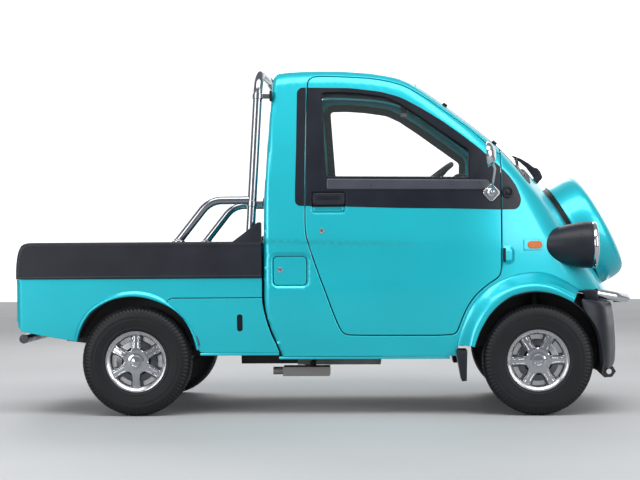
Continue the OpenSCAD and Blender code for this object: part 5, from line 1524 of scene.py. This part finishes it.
def cover_mesh():
    rs = np.concatenate([[.006, .012, .0175, .0195, .0215, .0235, .0245, .0265, .0275, .029, .034, .040, .046, .052], np.arange(.056, .127, .00225), [.1275, .129, .131, .1335, .136, .138, .1395, .1405, .1412]])
    A = 432; V = [(0, -.0765, 0)]; H = []
    def hh(r, t):
        d = (t + math.pi / 6) % (math.pi / 3) - math.pi / 6          # angle from the middle of a spoke
        arc = abs(d) * r
        wid = np.interp(r, [.04, .06, .09, .125], [.040, .0185, .0150, .0185])
        spoke = 1 - sstep((arc - wid) / .0055)
        rise = np.interp(r, [0, .056, .075, .10, .118, .127], [.0600, .0600, .0585, .0560, .0540, .0540])
        groove = .0016 * sstep(1 - abs(arc - wid * .55) / .002) * (.064 < r < .117)
        low = np.interp(r, [.050, .060, .066, .090, .098, .118, .1245, .1275], [.0600, .0560, .0440, .0385, .0360, .0345, .0400, .0540])
        h = spoke * (rise - groove) + (1 - spoke) * low
        ring = np.interp(r, [.1245, .1275, .131, .1345, .138, .1405, .1415], [0, .0560, .0610, .0640, .0635, .0600, .0560])
        h = max(h, ring) if r > .1245 else h
        # slot
        half_ = math.radians(30) - (wid + .0085) / max(r, .02)
        e = math.radians(30) - abs(d)
        s = (abs(e) < half_ * .93) and (.0965 < r < .1175)
        if r < .0245: h = .0745 if r < .0175 else (.0725 if r < .0205 else .0745)
        elif r < .0272: h = .0650
        elif r < .030: h = .0625
        # low ground between the spokes, which gets the darker chrome as painted shade
        recess_shade = spoke < .5 and .0500 < r < .1245
        return h, s, recess_shade
    fm, faces, RECESS_SHADE_MASK = [], [], []
    for r in rs:
        for k in range(A):
            t = 2 * math.pi * k / A
            h, s, recess_shade = hh(r, t); H.append(s); RECESS_SHADE_MASK.append(recess_shade)
            V.append((r * math.cos(t), -h + (.022 if s else 0), r * math.sin(t)))
    H = np.array(H).reshape(len(rs), A); RECESS_SHADE_MASK = np.array(RECESS_SHADE_MASK).reshape(len(rs), A)
    for k in range(A): faces.append((0, 1 + k, 1 + (k + 1) % A)); fm.append(0)
    for i in range(len(rs) - 1):
        for k in range(A):
            k2 = (k + 1) % A
            faces.append((1 + i * A + k, 1 + (i + 1) * A + k, 1 + (i + 1) * A + k2, 1 + i * A + k2))
            q4 = int(H[i, k]) + int(H[i + 1, k]) + int(H[i, k2]) + int(H[i + 1, k2])
            # material 3 is the darker chrome between the spokes, painted shade
            fm.append(1 if q4 >= 1 else (3 if RECESS_SHADE_MASK[i, k] and RECESS_SHADE_MASK[i + 1, k2] else 0))
    b = len(V)
    for r, h in ((.1412, .050), (.120, .020), (.02, .020)):
        for k in range(A):
            t = 2 * math.pi * k / A; V.append((r * math.cos(t), -h, r * math.sin(t)))
    base = 1 + (len(rs) - 1) * A
    for q, (s0, s1) in enumerate(((base, b), (b, b + A), (b + A, b + 2 * A))):
        for k in range(A):
            k2 = (k + 1) % A; faces.append((s0 + k, s1 + k, s1 + k2, s0 + k2)); fm.append(0 if q == 0 else 2)
    V.append((0, -.020, 0)); c = len(V) - 1
    for k in range(A): faces.append((b + 2 * A + k, c, b + 2 * A + (k + 1) % A)); fm.append(2)
    return mesh_only("wheel_cover", V, faces, [WHEEL, SEAL, STEEL, RECESS_PAINTED_SHADE], fm, angle=28)
def rim_mesh():
    prof = [(.0203, -.044), (.058, -.044), (.060, -.040), (.060, .000), (.100, .004), (.104, .000), (.108, -.062), (.112, -.066), (.139, -.066), (.1395, -.0625), (.1285, -.058), (.1275, -.05), (.1275, .05), (.1285, .058), (.1395, .0625), (.1395, .064), (.132, .062), (.1215, .050), (.1215, .012), (.0203, .011)]
    A = 72; V = []; m = len(prof)
    for k in range(A):
        t = 2 * math.pi * k / A
        for r, h in prof: V.append((r * math.cos(t), -h, r * math.sin(t)))
    return mesh_only("rim", V, grid_faces(A, m, wrap_n=True, wrap_m=True), [STEEL], angle=35)
TY, CV, RM = tyre_mesh(), cover_mesh(), rim_mesh()
def wheel(tag, x, sy, body, turn):
    for nm, me, slot_ in (("tyre_tread_", TY, "tyre"), ("wheel_cover_", CV, "chrome_trim"), ("wheel_rim_", RM, None)):
        me2 = me.copy(); me2.transform(Matrix.Translation((x, sy * .548, .252)) @ Matrix.Rotation(0 if sy < 0 else math.pi, 4, "Z") @ Matrix.Rotation(math.radians(turn), 4, "Y"))
        ob = bpy.data.objects.new(nm + tag, me2); scene.collection.objects.link(ob)
        bpy.context.view_layer.update()
        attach(ob, body)
    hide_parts("tyre_" + tag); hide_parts("wheel_" + tag)
wheel("front_right", .96, -1, "front_wheel_right", -2)
wheel("front_left", .96, 1, "front_wheel_left", 12)
wheel("rear_right", -.88, -1, "rear_wheel_right", 30)
wheel("rear_left", -.88, 1, "rear_wheel_left", 21)

# ---------------------------------------------------------------- inside the cab
def cushion(name, lo, hi, mat, puff, r, div=10, rot=None, pivot=None):
    """A padded block: a rounded box grid whose faces swell."""
    lo, hi = np.array(lo), np.array(hi); c = (lo + hi) / 2; h = (hi - lo) / 2
    bm = bmesh.new(); bmesh.ops.create_cube(bm, size=2.0)
    bmesh.ops.subdivide_edges(bm, edges=list(bm.edges), cuts=div, use_grid_fill=True)
    for v in bm.verts:
        u = np.array(v.co[:]); p = u * h
        q = np.clip(np.abs(p) - (h - r), 0, None); core = np.sign(p) * np.minimum(np.abs(p), h - r)
        L = np.linalg.norm(q)
        s = core + np.sign(p) * (q / L * r if L > r * 0.999 or L > 1e-9 and np.count_nonzero(np.abs(u) > .999) else q) if L > 1e-9 else core
        w = np.prod([1 - min(1, abs(a)) ** 4 for a in u[np.abs(u) < .999]]) if np.count_nonzero(np.abs(u) < .999) else 0
        k = int(np.argmax(np.abs(u))); s[k] += np.sign(u[k]) * puff * w
        seam = 0.006 * math.exp(-((abs(u[1]) - .62) / .035) ** 2) * w
        s[k] -= np.sign(u[k]) * seam
        v.co = Vector(c + s)
    if rot:
        p = Vector(pivot if pivot is not None else c)
        M = Matrix.Translation(p) @ Matrix.Rotation(math.radians(rot), 4, "Y") @ Matrix.Translation(-p)
        bmesh.ops.transform(bm, matrix=M, verts=bm.verts)
    V = [tuple(v.co) for v in bm.verts]; Fc = [tuple(v.index for v in f.verts) for f in bm.faces]; bm.free()
    return make(name, V, Fc, mat)
sc1, sb1 = [], []
for sy, tag in ((-1, "right"), (1, "left")):
    a = cushion("seat_base_" + tag, (-.145, sy * .245 - .200, .642), (.300, sy * .245 + .200, .735), CLOTH, .012, .034, 14)
    b = cushion("seat_squab_" + tag, (-.060, sy * .245 - .185, .700), (.030, sy * .245 + .185, 1.225), CLOTH, .010, .036, 14, rot=-9.5, pivot=(-.015, sy * .245, .70))
    b2 = [(v.co.x - .118, v.co.y, v.co.z + .006) for v in b.data.vertices]
    for v, q in zip(b.data.vertices, b2): v.co = q
    sc1.append(a); sb1.append(b)
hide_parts("seat_cushion"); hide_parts("seat_back")
# dash: a rolled top, a lower face, a binnacle, vents and knobs
do = fillet(mm([(705, 905), (955, 905), (990, 945), (965, 1045), (860, 1108), (700, 1116), (645, 1106), (632, 1060), (655, 965)]), [.01, .02, .02, .04, .08, .06, .03, .03, .03], .012)
parts = [prism("dash_a", [tuple(p) for p in do], "y", -.430, .430, GREY, r=.006, seg=3, slot="black_plastic")]
bi = fillet(mm([(585, 1040), (640, 1045), (700, 1060), (690, 1100), (610, 1112), (588, 1104)]), .02, .01)
parts.append(prism("dash_b", [tuple(p) for p in bi], "y", -.40, -.14, BLACK, r=.008, seg=3))
for y in (-.36, -.06, .06, .36):
    parts.append(rbox("vent", (.630, y - .04, 1.03), (.646, y + .04, 1.07), TRIM, r=.004))
for y in (-.05, 0, .05):
    parts.append(lathe("knob", [(0, 0), (.014, 0), (.013, .012), (.010, .014), (0, .014)], (.650, y, .965), (-1, 0, .2), TRIM, seg=20))
parts.append(rbox("glovebox", (.640, .14, .965), (.652, .40, 1.020), TRIM, r=.004))
ds = join("dash_moulding", parts, "truck", "black_plastic"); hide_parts("dashboard")
# steering wheel
HW = Vector((.445, -.270, 1.056)); ax = Vector((-.608761, 0, .793353)); u, v, d = frame_from(ax)
ring = [np.array(HW) + .172 * (math.cos(a) * u + math.sin(a) * v) for a in np.linspace(0, 2 * math.pi, 73)[:-1]]
sw = [tube("sw1", ring, .0135, VINYL, "hand_wheel", seg=16, closed=True)]
for a in (0.0, 2.2, 4.08):
    e = np.array(HW) + .168 * (math.cos(a + 1.57) * u + math.sin(a + 1.57) * v)
    c0 = np.array(HW) - .012 * d + .03 * (math.cos(a + 1.57) * u + math.sin(a + 1.57) * v)
    sw.append(tube("sw2", [c0, (c0 + e) / 2 - .006 * d, e], .009, VINYL, "hand_wheel", seg=10, radii=[.017, .012, .010]))
sw.append(lathe("sw3", [(0, .010), (.030, .009), (.046, .002), (.050, -.008), (.046, -.022), (.0, -.024)], HW, ax, VINYL, "hand_wheel", seg=40))
sw.append(lathe("sw4", [(0, 0), (.0115, 0), (.0115, -.225), (0, -.225)], Vector(HW), ax, STEEL, "hand_wheel", seg=24))
swo = join("steering_wheel_rim", sw, "hand_wheel", "black_plastic"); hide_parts("steering_wheel")
col = [lathe("c1", [(.0125, -.060), (.026, -.060), (.026, -.50), (.0125, -.50), (.0125, -.060)], HW, ax, BLACK, seg=28)]
p0 = Vector(HW) - ax * .075
col.append(tube("c2", [tuple(p0 + Vector((0, -.02, 0))), tuple(p0 + Vector((0, -.13, .012)))], .005, BLACK, seg=10))
col.append(tube("c3", [tuple(p0 + Vector((0, .02, 0))), tuple(p0 + Vector((0, .13, .012)))], .005, BLACK, seg=10))
co_ = join("steering_column_cover", col, "truck", "black_plastic")
# inner mirror, sun visors, floor mats and a back trim panel
im = [rbox("im1", (.347, -.110, 1.422), (.372, .110, 1.474), BLACK, r=.010, seg=3), rbox("im2", (.345, -.102, 1.429), (.3475, .102, 1.467), MIRROR, r=.001),
      tube("im3", [(.362, 0, 1.47), (.385, 0, 1.50), (.405, 0, 1.535)], .006, BLACK, seg=12)]
join("inner_mirror", im, "truck")
vs = []
for sy in (-1, 1):
    vs.append(rbox("visor", (.235, sy * .25 - .17, 1.545), (.375, sy * .25 + .17, 1.557), LINER, r=.005, rot=("Y", 12)))
join("sun_visors", vs, "truck")
rbox("floor_mat_right", (.30, -.50, .4022), (.60, -.08, .408), MAT_FLOOR, r=.003); rbox("floor_mat_left", (.30, .08, .4022), (.60, .50, .408), MAT_FLOOR, r=.003)
rbox("cab_back_trim", (-.262, -.42, .70), (-.252, .42, 1.05), GREY, r=.004)

# ---------------------------------------------------------------- machinery that keeps its engineering shape
KEPT = {"frame_rails": CHASSIS, "cab_floor": CHASSIS, "engine": CAST, "driveline": CHASSIS, "exhaust": BARE, "fuel_tank": CHASSIS, "rear_axle": CHASSIS,
        "leaf_springs": CHASSIS, "front_suspension": CHASSIS, "knuckle_right": BARE, "knuckle_left": BARE, "steering_column": BLACK, "cabin_fittings": BLACK}
for nme, mt in KEPT.items():
    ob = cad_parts[nme]
    ob.data.materials.clear(); ob.data.materials.append(mt)

# ---------------------------------------------------------------- stage, light and camera
def stage():
    me = bpy.data.meshes.new("floor")
    me.from_pydata([(-14, -14, 0), (14, -14, 0), (14, 14, 0), (-14, 14, 0)], [], [(0, 1, 2, 3)])
    fl = bpy.data.objects.new("floor", me); scene.collection.objects.link(fl)
    m, nt, b = new_mat("pale_floor")
    n = noise(nt, 0.6, 2.0)
    r = ramp(nt, n.outputs["Fac"], [(0.3, (0.37, 0.375, 0.38)), (0.7, (0.41, 0.415, 0.42))])
    nt.links.new(r.outputs["Color"], b.inputs["Base Color"])
    b.inputs["Roughness"].default_value = 0.7
    me.materials.append(m)
stage()
def backdrop():
    me = bpy.data.meshes.new("backdrop")
    me.from_pydata([(-30, 13.9, 0), (30, 13.9, 0), (30, 13.9, 16), (-30, 13.9, 16)], [], [(0, 1, 2, 3)])
    bd = bpy.data.objects.new("backdrop", me); scene.collection.objects.link(bd)
    m, nt, b = new_mat("white_backdrop")
    n = noise(nt, 0.3, 1.0)
    r = ramp(nt, n.outputs["Fac"], [(0.3, (0.90, 0.90, 0.90)), (0.7, (0.92, 0.92, 0.92))])
    nt.links.new(r.outputs["Color"], b.inputs["Base Color"])
    b.inputs["Roughness"].default_value = 0.9
    b.inputs["Emission Color"].default_value = (1, 1, 1, 1)
    b.inputs["Emission Strength"].default_value = 0.9
    me.materials.append(m)
backdrop()
scene.view_settings.view_transform = "Standard"
w = bpy.data.worlds.new("studio"); scene.world = w; w.use_nodes = True
bg = w.node_tree.nodes["Background"]; bg.inputs["Color"].default_value = (0.90, 0.94, 0.98, 1); bg.inputs["Strength"].default_value = 0.40
def area(name, loc, target, size, power, colour=(1, 1, 1)):
    l = bpy.data.lights.new(name, "AREA"); l.shape = "RECTANGLE"; l.size = size[0]; l.size_y = size[1]; l.energy = power; l.color = colour
    o = bpy.data.objects.new(name, l); scene.collection.objects.link(o)
    o.location = loc
    d = Vector(target) - Vector(loc)
    o.rotation_euler = d.to_track_quat("-Z", "Y").to_euler()
    return o
area("key", (0.2, -2.6, 4.8), (0, 0, 0.6), (6.5, 2.6), 250)
area("fill", (-4.4, -5.6, 2.0), (-0.6, 0, 0.6), (3.4, 3.4), 170)
area("front", (4.6, -4.0, 2.2), (0.9, 0, 0.8), (3.6, 3.6), 160)
area("back", (-1.0, 4.5, 4.0), (0, 0, 0.8), (5.0, 2.0), 150)

cam = bpy.data.cameras.new("camera"); cam.lens = 90.16; cam.sensor_width = 36.0; cam.shift_y = 0.0030
co = bpy.data.objects.new("camera", cam); scene.collection.objects.link(co)
th, roll = 0.0476, -0.0068
Fv = Vector((-math.sin(th), math.cos(th), 0)); Rv = Vector((math.cos(th), math.sin(th), 0)); Uv = Vector((0, 0, 1))
R2 = Rv * math.cos(roll) + Uv * math.sin(roll); U2 = -Rv * math.sin(roll) + Uv * math.cos(roll)
M = Matrix.Identity(4)
for i in range(3):
    M[i][0] = R2[i]; M[i][1] = U2[i]; M[i][2] = -Fv[i]
M[0][3], M[1][3], M[2][3] = 0.3193, -7.925, 0.7967
co.matrix_world = M
scene.camera = co
